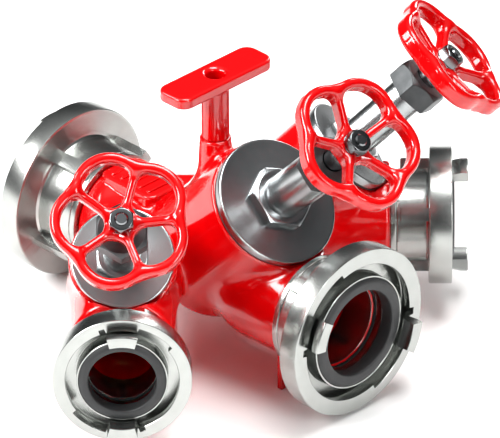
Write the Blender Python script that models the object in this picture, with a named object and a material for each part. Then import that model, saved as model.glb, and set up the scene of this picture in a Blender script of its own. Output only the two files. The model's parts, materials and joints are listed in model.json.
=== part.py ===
"""Fire-hose distributor: one large inlet, one large and two small outlets, three screw-down valves.

Frame: metres, +Z up, origin on the ground below the middle of the object. The inlet faces +Y,
the large outlet faces -Y and the two small outlets stand 45 degrees to its sides.
All four waterways meet at the hub, and each outlet has its own valve with a 45 degree spindle.
"""
import math
from dataclasses import dataclass, replace

import bmesh
import bpy
from mathutils import Matrix, Vector

# ---- driving dimensions, metres -------------------------------------------------------------
GAP = 0.0003                # clearance between two pieces that touch
LARGE_OUTLET_REACH = 0.2345 # hub to the ring face of the large outlet coupling
SMALL_OUTLET_REACH = 0.2330 # the same for both small outlets
INLET_REACH = 0.0624        # hub to the ring face of the inlet coupling
HUB_HEIGHT = 0.0655         # ground to the centre line of the waterways
SMALL_OUTLET_ANGLE = math.radians(45.0)
SPINDLE_ANGLE = math.radians(45.0)

MAIN_TUBE_RADIUS = 0.0331
MAIN_BORE_RADIUS = 0.0265
BRANCH_TUBE_RADIUS = 0.0290
BRANCH_BORE_RADIUS = 0.0235
INLET_BOSS_RADIUS = 0.0410
INLET_BOSS_LENGTH = 0.0130
INLET_BOSS_BLEND = 0.0220
TUBE_SHOULDER_EDGE = 0.0030 # chamfer of a cast end behind its coupling
NECK_EDGE = 0.0040          # chamfer of a valve neck's lower end
CAST_EDGE = 0.0010
PARTITION_LOW = -0.0010     # partition below the seat, along the spindle from the waterway's axis
PARTITION_TOP = 0.0050
OUTLET_SLANT = 0.0120       # lowest point of the outlet's bore, along the spindle
CUTTER_RUN = 0.0600         # a waterway's cutter past the spindle, before its slanted end
CUT_MARGIN = 0.0010         # a cutter past the face that it opens

SEAT_FLANGE_HEIGHT = 0.0025
SEAT_FLANGE_WIDTH = 0.0020
DISC_THICKNESS = 0.0075
DISC_EDGE = 0.0020
DISC_SEAL_THICKNESS = 0.0030
DISC_NUT_RADIUS = 0.0100
DISC_NUT_DEPTH = 0.0045     # nut below the seal's face
STEM_END = 0.0070           # spindle's end below the seat
BONNET_EDGE = 0.0020
BONNET_RECESS_WALL = 0.0060
PACKING_DROP = 0.0030       # packing ring below the stuffing box's mouth

PAD_WIDTH = 0.0374
PAD_TOP = 0.0382            # above the hub
PAD_ROOT = 0.0200
PAD_FRONT_REACH = 0.0455    # hub to the pad's front end
PAD_CORNER = 0.0080
PAD_RIB_COUNT = 5
PAD_RIB_HEIGHT = 0.0012
PAD_RIB_LENGTH = 0.0270
PAD_RIB_WIDTH = 0.0030

HANDLE_REACH = 0.0920       # hub to the handle's column
HANDLE_TOP = 0.1525         # hub centre line to the grip's upper face
HANDLE_FOOT = 0.1016        # seam between column and casting
HANDLE_COLUMN_RADIUS = 0.0100
HANDLE_BORE_RADIUS = 0.0068
HANDLE_MOUTH_RADIUS = 0.0088
HANDLE_FLOOR = 0.0060
GRIP_LENGTH = 0.0915
GRIP_DEPTH = 0.0290
GRIP_THICKNESS = 0.0085
GRIP_CORNER = 0.0090
GRIP_EDGE = 0.0018
GRIP_FLARE = 0.0030         # fillet between column and grip
BOSS_ROOT_RADIUS = 0.0128
BOSS_ROOT = 0.0640
BOSS_TOP_RADIUS = 0.0105
SCREW_RADIUS = 0.0040
SCREW_HEAD_RADIUS = 0.0062
SCREW_HEAD_HEIGHT = 0.0080
SCREW_DEPTH = 0.0180
SCREW_SOCKET = 0.0030
SCREW_SOCKET_DEPTH = 0.0045
SCREW_TIP_CLEARANCE = 0.0020
SCREW_EDGE = 0.0006

FOOT_THICKNESS = 0.0045
FRONT_FOOT_REACH = 0.1730
FRONT_FOOT_HALF_WIDTH = 0.0170
REAR_FOOT_HALF_WIDTH = 0.0240
REAR_FOOT_REACH = 0.0040
SIDE_FOOT_REACH = 0.1600
SIDE_FOOT_HALF_WIDTH = 0.0130
FOOT_TAPER = 0.0020
FOOT_ROOT_SHARE = 0.8       # where a foot enters its tube, from the axis towards the wall
GUSSET_THICKNESS = 0.0050
GUSSET_LENGTH = 0.0480
GUSSET_FOOT_DROP = 0.0080   # ground to the gusset's lower end at the foot

WELD = 0.00002              # merges the tiny edges that joins and cuts leave
RING_STEPS = 28
TUBE_STEPS = 18
SMALL_STEPS = 14
FACET_TURN = math.radians(2.3)   # turns each tube a little, so that no two edges coincide


@dataclass(frozen=True)
class CouplingSize:
    """One claw coupling, measured from its ring face (z = 0) back along its axis."""
    ring_radius: float
    ring_length: float
    hub_radius: float
    hub_length: float
    collar_length: float
    lip_radius: float
    groove_radius: float
    boss_radius: float
    seal_radius: float
    seal_bore: float
    bore_radius: float
    socket_radius: float
    rib_radius: float
    rib_width: float
    lug_inner: float
    lug_outer: float
    hook_outer: float
    lug_half_angle: float
    edge: float = 0.0015
    seal_edge: float = 0.0016
    rib_root: float = 0.0020      # a wrench rib's depth inside the hub and the ring
    rib_gap: float = 0.0025       # between a wrench rib and the collar
    recess_depth: float = 0.0120
    lip_depth: float = 0.0055
    seal_depth: float = 0.0090
    seal_stand: float = 0.0019
    shoulder_depth: float = 0.0150
    lug_reach: float = 0.0116
    hook_length: float = 0.0062
    window_angle: float = math.radians(38.0)
    notch_angle: float = math.radians(6.0)
    notch_land: float = math.radians(1.0)
    thread_gasket: float = 0.0020
    fillet: float = 0.0040

    @property
    def length(self):
        return self.ring_length + self.hub_length + self.collar_length


@dataclass(frozen=True)
class ValveSize:
    """One screw-down valve; heights are measured along the spindle from the waterway's axis,
    and those that start with 'up_' from the bonnet's upper face."""
    outlet_reach: float      # hub to the ring face of the outlet coupling
    reach: float             # hub to the spindle's crossing of the waterway
    neck_radius: float
    chamber_radius: float
    bonnet_face: float
    flange_radius: float
    flange_thickness: float
    hex_flat: float
    tube_radius: float
    gland_flat: float
    seat_bore: float
    seat_radius: float
    disc_radius: float
    outlet_tube_radius: float
    outlet_bore_radius: float
    outlet_start: float      # hub to the rounded start of the outlet tube
    outlet_round: float
    tube_in_radius: float    # tube and bore that bring the water from the hub
    bore_in_radius: float
    tube_run: float          # that tube past the spindle's crossing
    up_rim: float            # height of the handwheel's rim
    up_tube: float           # height of the stuffing box's mouth
    up_hex: float = 0.0090
    gland_height: float = 0.0167
    packing_radius: float = 0.0110
    packing_depth: float = 0.0100
    gasket_thickness: float = 0.0015
    skirt_length: float = 0.0120
    spindle_radius: float = 0.0080


COUPLING_LARGE = CouplingSize(
    ring_radius=0.0630, ring_length=0.0165, hub_radius=0.0422, hub_length=0.0229,
    collar_length=0.0050, lip_radius=0.0514, groove_radius=0.0552, boss_radius=0.0426,
    seal_radius=0.0413, seal_bore=0.0320, bore_radius=0.0326, socket_radius=0.0376,
    rib_radius=0.0490, rib_width=0.0110, lug_inner=0.0445, lug_outer=0.0490,
    hook_outer=0.0536, lug_half_angle=math.radians(13.0))
COUPLING_INLET = replace(COUPLING_LARGE, hub_length=0.0320)
COUPLING_SMALL = CouplingSize(
    ring_radius=0.0490, ring_length=0.0165, hub_radius=0.03325, hub_length=0.0229,
    collar_length=0.0046, lip_radius=0.0400, groove_radius=0.0435, boss_radius=0.0321,
    seal_radius=0.0310, seal_bore=0.0240, bore_radius=0.0250, socket_radius=0.0296,
    rib_radius=0.0404, rib_width=0.0100, lug_inner=0.0330, lug_outer=0.0374,
    hook_outer=0.0415, lug_half_angle=math.radians(15.5))

VALVE_LARGE = ValveSize(
    outlet_reach=LARGE_OUTLET_REACH, reach=0.0799, neck_radius=0.0477, chamber_radius=0.0407,
    bonnet_face=0.1047, flange_radius=0.0470, flange_thickness=0.0062, hex_flat=0.0420, tube_radius=0.0159,
    gland_flat=0.0360, seat_bore=0.0235, seat_radius=0.0290, disc_radius=0.0310,
    outlet_tube_radius=0.0385, outlet_bore_radius=0.0310, outlet_start=0.1010,
    outlet_round=0.0440, tube_in_radius=MAIN_TUBE_RADIUS, bore_in_radius=MAIN_BORE_RADIUS,
    tube_run=0.0450, up_rim=0.1098, up_tube=0.0605)
VALVE_SMALL = ValveSize(
    outlet_reach=SMALL_OUTLET_REACH, reach=0.1030, neck_radius=0.0383, chamber_radius=0.0315,
    bonnet_face=0.0820, flange_radius=0.0366, flange_thickness=0.0062, hex_flat=0.0360, tube_radius=0.0137,
    gland_flat=0.0357, seat_bore=0.0190, seat_radius=0.0240, disc_radius=0.0255,
    outlet_tube_radius=0.0383, outlet_bore_radius=0.0250, outlet_start=0.0850,
    outlet_round=0.0300, tube_in_radius=BRANCH_TUBE_RADIUS, bore_in_radius=BRANCH_BORE_RADIUS,
    tube_run=0.0200, up_rim=0.0984, up_tube=0.0583)

# handwheel, the same casting on all three valves; its z = 0 is the rim's middle
WHEEL_LOBES = 5
WHEEL_LOBE_RADIUS = 0.0503
WHEEL_VALLEY_RADIUS = 0.0435
VALLEY_SOFTNESS = 0.22      # how gently the rim turns in its valleys
RIM_WIDTH = 0.0074
RIM_HEIGHT = 0.0130
RIM_SIDES = 6
RIM_STEPS = 30
HUB_RADIUS = 0.0118
HUB_TOP = -0.0040
HUB_BASE = -0.0140
SPOKE_WIDTH = 0.0070
SPOKE_HEIGHT = 0.0070
SQUARE_RADIUS = 0.0055      # turned seat of the wheel on the spindle
STUD_RADIUS = 0.0045
WASHER_RADIUS = 0.0088
WASHER_THICKNESS = 0.0014
NUT_FLAT = 0.0165
NUT_HEIGHT = 0.0082
STUD_END = 0.0015           # stud showing above its nut
WHEEL_EDGE = 0.0010
NUT_EDGE = 0.0009

WHEEL_LEAN = 0.0116           # the middle of the box lies this far forward, because the large wheel leans out
HUB = Vector((0.0, (LARGE_OUTLET_REACH - INLET_REACH) / 2.0 + WHEEL_LEAN, HUB_HEIGHT))
FRONT = -math.pi / 2.0


@dataclass(frozen=True)
class Branch:
    """One outlet: its heading, sizes, coupling twist, handwheel phase and turn of its facets."""
    name: str
    heading: float
    coupling: CouplingSize
    valve: ValveSize
    twist: float
    wheel_phase: float
    facet_turn: float


BRANCHES = (
    Branch("centre", FRONT, COUPLING_LARGE, VALVE_LARGE,
           math.radians(-22.0), math.radians(8.2), FACET_TURN),
    Branch("left", FRONT - SMALL_OUTLET_ANGLE, COUPLING_SMALL, VALVE_SMALL,
           math.radians(90.0), math.radians(2.5), 2.0 * FACET_TURN),
    Branch("right", FRONT + SMALL_OUTLET_ANGLE, COUPLING_SMALL, VALVE_SMALL,
           math.radians(90.0), math.radians(5.5), 3.0 * FACET_TURN),
)
INLET_TWIST = math.radians(90.0)
OUTLET_RIB_TURN = math.radians(-30.0)   # first wrench rib from the first lug
INLET_RIB_TURN = math.radians(45.0)


# ---- frames ----------------------------------------------------------------------------------
def line_frame(heading, distance=0.0):
    """Frame on a waterway's axis: +Z outward along the heading, +Y up, 'distance' from the hub."""
    out = Vector((math.cos(heading), math.sin(heading), 0.0))
    up = Vector((0.0, 0.0, 1.0))
    side = up.cross(out)
    rotation = Matrix((side, up, out)).transposed().to_4x4()
    return Matrix.Translation(HUB + out * distance) @ rotation


def valve_frame(branch):
    """Frame on a valve's spindle: +Z outward along the spindle, origin on the waterway's axis."""
    return line_frame(branch.heading, branch.valve.reach) @ Matrix.Rotation(-SPINDLE_ANGLE, 4, "X")


def facets(angle):
    """Turn of a round piece's facets about its own axis."""
    return Matrix.Rotation(angle, 4, "Z")


# ---- modelling helpers -----------------------------------------------------------------------
def clear_scene():
    """Remove every object of the open scene."""
    for old in list(bpy.data.objects):
        bpy.data.objects.remove(old, do_unlink=True)


def make_material(name, colour, roughness, metallic):
    """A Principled material."""
    material = bpy.data.materials.new(name)
    material.use_nodes = True
    shader = material.node_tree.nodes["Principled BSDF"]
    shader.inputs["Base Color"].default_value = (*colour, 1.0)
    shader.inputs["Roughness"].default_value = roughness
    shader.inputs["Metallic"].default_value = metallic
    return material


def add_object(name, bm, frame, finish):
    """Turn a bmesh into an object at a frame, dressed in a finish of FINISHES."""
    mesh = bpy.data.meshes.new(name)
    bmesh.ops.recalc_face_normals(bm, faces=bm.faces)
    bm.to_mesh(mesh)
    bm.free()
    mesh.shade_smooth()
    mesh.set_sharp_from_angle(angle=math.radians(35.0))
    obj = bpy.data.objects.new(name, mesh)
    bpy.context.scene.collection.objects.link(obj)
    obj.matrix_world = frame
    mesh.materials.append(make_material(name, *FINISHES[finish]))
    return obj


def combine(obj, operation, bm, frame):
    """Join a solid to an object or cut it out of it; all joins come before all cuts."""
    name = obj.name + "_" + operation.lower()
    tools = bpy.data.collections.get(name)
    if tools is None:
        tools = bpy.data.collections.new(name)
        bpy.context.scene.collection.children.link(tools)
        modifier = obj.modifiers.new(operation.lower(), "BOOLEAN")
        modifier.operation = operation
        modifier.solver = "EXACT"
        modifier.operand_type = "COLLECTION"
        modifier.collection = tools
        weld = obj.modifiers.new(operation.lower() + "_weld", "WELD")
        weld.merge_threshold = WELD
    tool = add_object(name + "_tool", bm, frame, "cast")
    tool.hide_render = True
    tool.display_type = "WIRE"
    bpy.context.scene.collection.objects.unlink(tool)
    tools.objects.link(tool)


def turned(profile, steps):
    """Spin (radius, z) points about Z; a profile that starts off the axis is closed on itself."""
    bm = bmesh.new()
    verts = [bm.verts.new((radius, 0.0, z)) for radius, z in profile]
    pairs = list(zip(verts, verts[1:]))
    if profile[0][0] > 0.0:
        pairs.append((verts[-1], verts[0]))
    edges = [bm.edges.new(pair) for pair in pairs]
    bmesh.ops.spin(bm, geom=verts + edges, cent=(0, 0, 0), axis=(0, 0, 1), dvec=(0, 0, 0),
                   angle=2.0 * math.pi, steps=steps, use_merge=True)
    bmesh.ops.remove_doubles(bm, verts=bm.verts, dist=1e-6)
    return bm


def cylinder(radius, low, high, steps=TUBE_STEPS):
    """A plain solid cylinder about Z."""
    return turned([(0.0, low), (radius, low), (radius, high), (0.0, high)], steps)


def ring(outer, inner, low, high, steps=TUBE_STEPS):
    """A plain ring about Z."""
    return turned([(inner, low), (outer, low), (outer, high), (inner, high)], steps)


def arc_block(profile, start, end, steps):
    """Spin a closed (radius, z) outline from one angle to another, with flat ends."""
    bm = bmesh.new()
    points = [(r * math.cos(start), r * math.sin(start), z) for r, z in profile]
    face = bm.faces.new([bm.verts.new(point) for point in points])
    geometry = list(face.verts) + list(face.edges) + [face]
    bmesh.ops.spin(bm, geom=geometry, cent=(0, 0, 0), axis=(0, 0, 1), dvec=(0, 0, 0),
                   angle=end - start, steps=steps, use_duplicate=False)
    return bm


def prism(outline, low, high, bevel=0.0):
    """Extrude a flat outline from one height to another; 'bevel' breaks its upper and lower edges."""
    bm = bmesh.new()
    face = bm.faces.new([bm.verts.new((x, y, low)) for x, y in outline])
    grown = bmesh.ops.extrude_face_region(bm, geom=[face])["geom"]
    moved = [item for item in grown if isinstance(item, bmesh.types.BMVert)]
    bmesh.ops.translate(bm, verts=moved, vec=(0.0, 0.0, high - low))
    if bevel > 0.0:
        rims = [edge for edge in bm.edges if abs(edge.verts[0].co.z - edge.verts[1].co.z) < 1e-7]
        bmesh.ops.bevel(bm, geom=rims, offset=bevel, segments=1, affect="EDGES", profile=0.5)
    return bm


def rectangle(left, right, low, high):
    """Corners of a rectangle."""
    return [(left, low), (right, low), (right, high), (left, high)]


def polygon(sides, inradius):
    """Corners of a regular polygon of a given half width across flats."""
    corner = inradius / math.cos(math.pi / sides)
    angles = [2.0 * math.pi * (k + 0.5) / sides for k in range(sides)]
    return [(corner * math.cos(angle), corner * math.sin(angle)) for angle in angles]


def rounded_rectangle(width, depth, corner, steps=5):
    """Outline of a rectangle with round corners, centred on the origin."""
    points = []
    for quarter, (sx, sy) in enumerate(((1, 1), (-1, 1), (-1, -1), (1, -1))):
        cx = sx * (width / 2.0 - corner)
        cy = sy * (depth / 2.0 - corner)
        for step in range(steps + 1):
            angle = math.pi / 2.0 * (quarter + step / steps)
            points.append((cx + corner * math.cos(angle), cy + corner * math.sin(angle)))
    return points


def hull(points):
    """Convex solid around a set of points."""
    bm = bmesh.new()
    for point in points:
        bm.verts.new(point)
    result = bmesh.ops.convex_hull(bm, input=bm.verts)
    loose = [item for item in result["geom_interior"] if isinstance(item, bmesh.types.BMVert)]
    bmesh.ops.delete(bm, geom=loose, context="VERTS")
    return bm


def keep_side(bm, point, normal):
    """Cut a solid by a plane and keep the side that the normal points to, closed again."""
    geometry = list(bm.verts) + list(bm.edges) + list(bm.faces)
    bmesh.ops.bisect_plane(bm, geom=geometry, plane_co=point, plane_no=normal, clear_inner=True)
    rim = [edge for edge in bm.edges if edge.is_boundary]
    bmesh.ops.holes_fill(bm, edges=rim, sides=0)
    return bm


def quarter_round(radius, start, length, steps=6):
    """Profile points of a quarter ellipse from the axis at 'start' out to 'radius'."""
    angles = [math.pi / 2.0 * step / steps for step in range(steps + 1)]
    return [(radius * math.sin(a), start + length * (1.0 - math.cos(a))) for a in angles]


# ---- couplings -------------------------------------------------------------------------------
def coupling_profile(size):
    """Closed outline of the coupling's turned body."""
    back = -size.length
    hub_back = back + size.collar_length
    ring_back = -size.ring_length
    edge = size.edge
    return [
        (size.socket_radius, back), (size.hub_radius, back), (size.hub_radius, hub_back - edge / 2),
        (size.hub_radius - edge / 2, hub_back), (size.hub_radius, hub_back + edge / 2),
        (size.hub_radius, ring_back - size.fillet), (size.hub_radius + size.fillet, ring_back),
        (size.ring_radius, ring_back), (size.ring_radius, -edge),
        (size.ring_radius - edge, 0.0), (size.lip_radius, 0.0),
        (size.lip_radius, -size.lip_depth), (size.groove_radius, -size.lip_depth),
        (size.groove_radius, -size.recess_depth), (size.boss_radius, -size.recess_depth),
        (size.boss_radius, 0.0), (size.seal_radius, 0.0), (size.seal_radius, -size.seal_depth),
        (size.bore_radius, -size.seal_depth), (size.bore_radius, -size.shoulder_depth),
        (size.socket_radius, -size.shoulder_depth),
    ]


def add_coupling(name, size, frame, twist, rib_turn):
    """Coupling ring with its two hooked lugs, entry windows and four wrench ribs."""
    place = frame @ Matrix.Rotation(twist, 4, "Z")
    body = add_object(name + "_coupling", turned(coupling_profile(size), RING_STEPS), place, "silver")
    root = -size.recess_depth - CUT_MARGIN
    lug = [(size.lug_inner, root), (size.lug_outer, root),
           (size.lug_outer, size.lug_reach - size.hook_length),
           (size.hook_outer, size.lug_reach - size.hook_length),
           (size.hook_outer, size.lug_reach), (size.lug_inner, size.lug_reach)]
    window = rectangle(size.lip_radius - CUT_MARGIN, size.groove_radius,
                       -size.lip_depth - CUT_MARGIN, CUT_MARGIN)
    half = size.lug_half_angle
    rib_low = -size.length + size.collar_length + size.rib_gap
    rib_high = -size.ring_length + size.rib_root
    root_radius = size.hub_radius - size.rib_root
    rib = rectangle(root_radius, size.rib_radius, -size.rib_width / 2, size.rib_width / 2)
    for quarter in range(4):
        turn = Matrix.Rotation(rib_turn + math.pi / 2.0 * quarter, 4, "Z")
        combine(body, "UNION", prism(rib, rib_low, rib_high), place @ turn)
    for side in (0.0, math.pi):
        combine(body, "UNION", arc_block(lug, side - half, side + half, 4), place)
        start = side - half - size.window_angle
        combine(body, "DIFFERENCE", arc_block(window, start, start + size.window_angle, 6), place)
        start = side + half + size.notch_land
        combine(body, "DIFFERENCE", arc_block(window, start, start + size.notch_angle, 2), place)
    add_coupling_seals(name, size, place)


def add_coupling_seals(name, size, place):
    """Face seal in the coupling's mouth and flat gasket behind its thread."""
    seal_back = -size.seal_depth + GAP
    outer = size.seal_radius - GAP
    seal = [(size.seal_bore, seal_back), (outer, seal_back), (outer, size.seal_stand / 3),
            (outer - size.seal_edge, size.seal_stand), (size.seal_bore, size.seal_stand)]
    add_object(name + "_face_seal", turned(seal, TUBE_STEPS), place, "rubber")
    front = -size.shoulder_depth - GAP
    gasket = ring(size.socket_radius - GAP, size.bore_radius, front - size.thread_gasket, front)
    add_object(name + "_thread_gasket", gasket, place, "rubber")


# ---- casting ---------------------------------------------------------------------------------
def solid_profile(size, tube_radius, face, start, blend):
    """Outline of a casting end in a hub frame: rounded start, tube, shoulder and threaded spigot."""
    shoulder = face - size.length - GAP
    tip = face - size.shoulder_depth - 2.0 * GAP - size.thread_gasket
    edge = TUBE_SHOULDER_EDGE
    spigot = size.socket_radius - GAP
    return quarter_round(tube_radius, start, blend) + [
        (tube_radius, shoulder - edge), (tube_radius - edge, shoulder), (spigot, shoulder),
        (spigot, tip), (0.0, tip)]


def add_casting():
    """The cast body: waterways, valve necks, pad, handle boss and feet, hollowed through."""
    inlet = line_frame(-FRONT)
    shell = add_object("body_casting", inlet_shell(), inlet @ facets(5.0 * FACET_TURN), "cast")
    for branch in BRANCHES:
        add_branch_shell(shell, branch)
    add_handle_boss(shell)
    add_pad(shell)
    add_feet(shell)
    tip = INLET_REACH - COUPLING_INLET.shoulder_depth
    combine(shell, "DIFFERENCE", cylinder(MAIN_BORE_RADIUS, -MAIN_BORE_RADIUS, tip), inlet)
    for branch in BRANCHES:
        hollow_branch(shell, branch)


def inlet_shell():
    """Inlet boss with its spigot, closed and rounded at the hub end."""
    start = INLET_REACH - COUPLING_INLET.length - INLET_BOSS_LENGTH - INLET_BOSS_BLEND
    profile = solid_profile(COUPLING_INLET, INLET_BOSS_RADIUS, INLET_REACH, start, INLET_BOSS_BLEND)
    return turned(profile, TUBE_STEPS)


def add_branch_shell(shell, branch):
    """Outer shape of one outlet: branch tube, outlet tube with spigot, and valve neck."""
    valve = branch.valve
    line = line_frame(branch.heading) @ facets(branch.facet_turn)
    tube = cylinder(valve.tube_in_radius, 0.0, valve.reach + valve.tube_run)
    combine(shell, "UNION", tube, line)
    profile = solid_profile(branch.coupling, valve.outlet_tube_radius, valve.outlet_reach,
                            valve.outlet_start, valve.outlet_round)
    combine(shell, "UNION", turned(profile, TUBE_STEPS), line)
    top = neck_top(valve)
    neck = [(0.0, 0.0), (valve.neck_radius - NECK_EDGE, 0.0), (valve.neck_radius, NECK_EDGE),
            (valve.neck_radius, top - CAST_EDGE), (valve.neck_radius - CAST_EDGE, top), (0.0, top)]
    combine(shell, "UNION", turned(neck, TUBE_STEPS), valve_frame(branch) @ facets(branch.facet_turn))


def neck_top(valve):
    """Height of the neck's machined face, under the bonnet gasket."""
    return valve.bonnet_face - valve.flange_thickness - valve.gasket_thickness - 2.0 * GAP


def hollow_branch(shell, branch):
    """Cut the waterway, the valve chamber and the seat's hole of one outlet."""
    valve = branch.valve
    line = line_frame(branch.heading) @ facets(branch.facet_turn)
    spindle = valve_frame(branch)
    to_line = line.inverted() @ spindle
    normal = to_line.to_3x3() @ Vector((0.0, 0.0, 1.0))
    low = to_line @ Vector((0.0, 0.0, PARTITION_LOW))
    upstream = cylinder(valve.bore_in_radius, CUT_MARGIN, valve.reach + CUTTER_RUN)
    combine(shell, "DIFFERENCE", keep_side(upstream, low, -normal), line)
    high = to_line @ Vector((0.0, 0.0, OUTLET_SLANT))
    tip = valve.outlet_reach - branch.coupling.shoulder_depth
    downstream = cylinder(valve.outlet_bore_radius, valve.reach - CUTTER_RUN, tip)
    combine(shell, "DIFFERENCE", keep_side(downstream, high, normal), line)
    chamber = cylinder(valve.chamber_radius, PARTITION_TOP, valve.bonnet_face)
    combine(shell, "DIFFERENCE", chamber, spindle)
    spot_radius = valve.flange_radius + CUT_MARGIN
    spot = cylinder(spot_radius, neck_top(valve) + GAP, valve.bonnet_face + valve.up_hex)
    combine(shell, "DIFFERENCE", spot, spindle)
    hole = cylinder(valve.seat_radius, PARTITION_LOW - NECK_EDGE, PARTITION_TOP + CUT_MARGIN)
    combine(shell, "DIFFERENCE", hole, spindle)


def add_handle_boss(shell):
    """Cone behind the large valve that carries the handle, with its tapped hole."""
    place = line_frame(FRONT, HANDLE_REACH) @ Matrix.Rotation(-math.pi / 2.0, 4, "X")
    cone = [(0.0, BOSS_ROOT), (BOSS_ROOT_RADIUS, BOSS_ROOT),
            (BOSS_TOP_RADIUS, HANDLE_FOOT), (0.0, HANDLE_FOOT)]
    combine(shell, "UNION", turned(cone, SMALL_STEPS), place)
    hole = cylinder(SCREW_RADIUS + GAP, HANDLE_FOOT - SCREW_DEPTH, HANDLE_FOOT + CUT_MARGIN, SMALL_STEPS)
    combine(shell, "DIFFERENCE", hole, place)


def add_pad(shell):
    """Raised pad with cross ribs on top of the hub."""
    back = INLET_REACH - COUPLING_INLET.length - 2.0 * GAP
    length = PAD_FRONT_REACH + back
    place = Matrix.Translation(HUB + Vector((0.0, back - length / 2.0, 0.0)))
    block = prism(rounded_rectangle(PAD_WIDTH, length, PAD_CORNER), PAD_ROOT, PAD_TOP)
    combine(shell, "UNION", block, place)
    pitch = length / (PAD_RIB_COUNT + 1)
    for index in range(PAD_RIB_COUNT):
        y = pitch * (index + 1) - length / 2.0
        half = PAD_RIB_LENGTH / 2.0
        rib = rectangle(-half, half, y - PAD_RIB_WIDTH / 2.0, y + PAD_RIB_WIDTH / 2.0)
        block = prism(rib, PAD_TOP - CUT_MARGIN, PAD_TOP + PAD_RIB_HEIGHT)
        combine(shell, "UNION", block, place)


def add_feet(shell):
    """Plate feet below the outlets and the hub, each with a gusset towards the hub."""
    feet = [(FRONT, FRONT_FOOT_REACH, FRONT_FOOT_HALF_WIDTH, VALVE_LARGE.outlet_tube_radius)]
    feet.append((FRONT, REAR_FOOT_REACH, REAR_FOOT_HALF_WIDTH, MAIN_TUBE_RADIUS))
    for side in (-1.0, 1.0):
        feet.append((FRONT + side * SMALL_OUTLET_ANGLE, SIDE_FOOT_REACH, SIDE_FOOT_HALF_WIDTH,
                     VALVE_SMALL.outlet_tube_radius))
    for heading, reach, half, tube in feet:
        line = line_frame(heading)
        root = -FOOT_ROOT_SHARE * tube
        plate = [(-half, -HUB_HEIGHT), (half, -HUB_HEIGHT),
                 (half + FOOT_TAPER, root), (-half - FOOT_TAPER, root)]
        combine(shell, "UNION", prism(plate, reach - FOOT_THICKNESS / 2, reach + FOOT_THICKNESS / 2), line)
        if reach > GUSSET_LENGTH:
            points = [(x, y, z) for x in (-GUSSET_THICKNESS / 2, GUSSET_THICKNESS / 2)
                      for y, z in ((root, reach - GUSSET_LENGTH), (root, reach),
                                   (-HUB_HEIGHT + GUSSET_FOOT_DROP, reach))]
            combine(shell, "UNION", hull(points), line)


# ---- valves ----------------------------------------------------------------------------------
def add_valve(branch):
    """Every piece of one valve, from the seat ring up to the nut on the handwheel."""
    place = valve_frame(branch)
    rotor = bpy.data.objects.new(branch.name + "_spindle_axis", None)
    bpy.context.scene.collection.objects.link(rotor)
    rotor.matrix_world = place
    add_seat(branch, place)
    add_bonnet(branch, place)
    add_disc(branch, place, rotor)
    add_spindle(branch, place, rotor)
    add_handwheel(branch, place, rotor)


def seat_height():
    """Height of the seat ring's upper face."""
    return PARTITION_TOP + SEAT_FLANGE_HEIGHT


def add_seat(branch, place):
    """Flanged seat ring in the partition's hole."""
    valve = branch.valve
    shoulder = PARTITION_TOP + GAP
    outer = valve.seat_radius - GAP
    flange = valve.seat_radius + SEAT_FLANGE_WIDTH
    profile = [(valve.seat_bore, 0.0), (outer, 0.0), (outer, shoulder), (flange, shoulder),
               (flange, seat_height()), (valve.seat_bore, seat_height())]
    add_object(branch.name + "_seat_ring", turned(profile, TUBE_STEPS), place, "brass")


def disc_levels():
    """Heights of the valve disc's seal face, seal back and upper face, in the closed state."""
    seal_low = seat_height() + GAP
    disc_low = seal_low + DISC_SEAL_THICKNESS
    return seal_low, disc_low, disc_low + DISC_THICKNESS


def add_disc(branch, place, rotor):
    """Valve disc with its rubber seal and the nut that holds both on the spindle."""
    valve = branch.valve
    seal_low, disc_low, disc_top = disc_levels()
    name = branch.name + "_valve_"
    bore = SQUARE_RADIUS + GAP
    profile = [(bore, disc_low), (valve.disc_radius, disc_low), (valve.disc_radius, disc_top - DISC_EDGE),
               (valve.disc_radius - DISC_EDGE, disc_top), (bore, disc_top)]
    disc = add_object(name + "disc", turned(profile, TUBE_STEPS), place, "brass")
    seal_inner = DISC_NUT_RADIUS + 2 * GAP
    seal = ring(valve.disc_radius - CAST_EDGE, seal_inner, seal_low, disc_low - GAP)
    seal_ring = add_object(name + "disc_seal", seal, place, "rubber")
    hexagon = polygon(6, DISC_NUT_RADIUS * math.cos(math.pi / 6))
    nut = add_object(name + "disc_nut", prism(hexagon, seal_low - DISC_NUT_DEPTH, disc_low - GAP),
                     place, "brass")
    hole = cylinder(bore, seal_low - DISC_NUT_DEPTH - CUT_MARGIN, disc_low + CUT_MARGIN, SMALL_STEPS)
    combine(nut, "DIFFERENCE", hole, place)
    for piece in (disc, seal_ring, nut):
        attach(piece, rotor)


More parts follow.
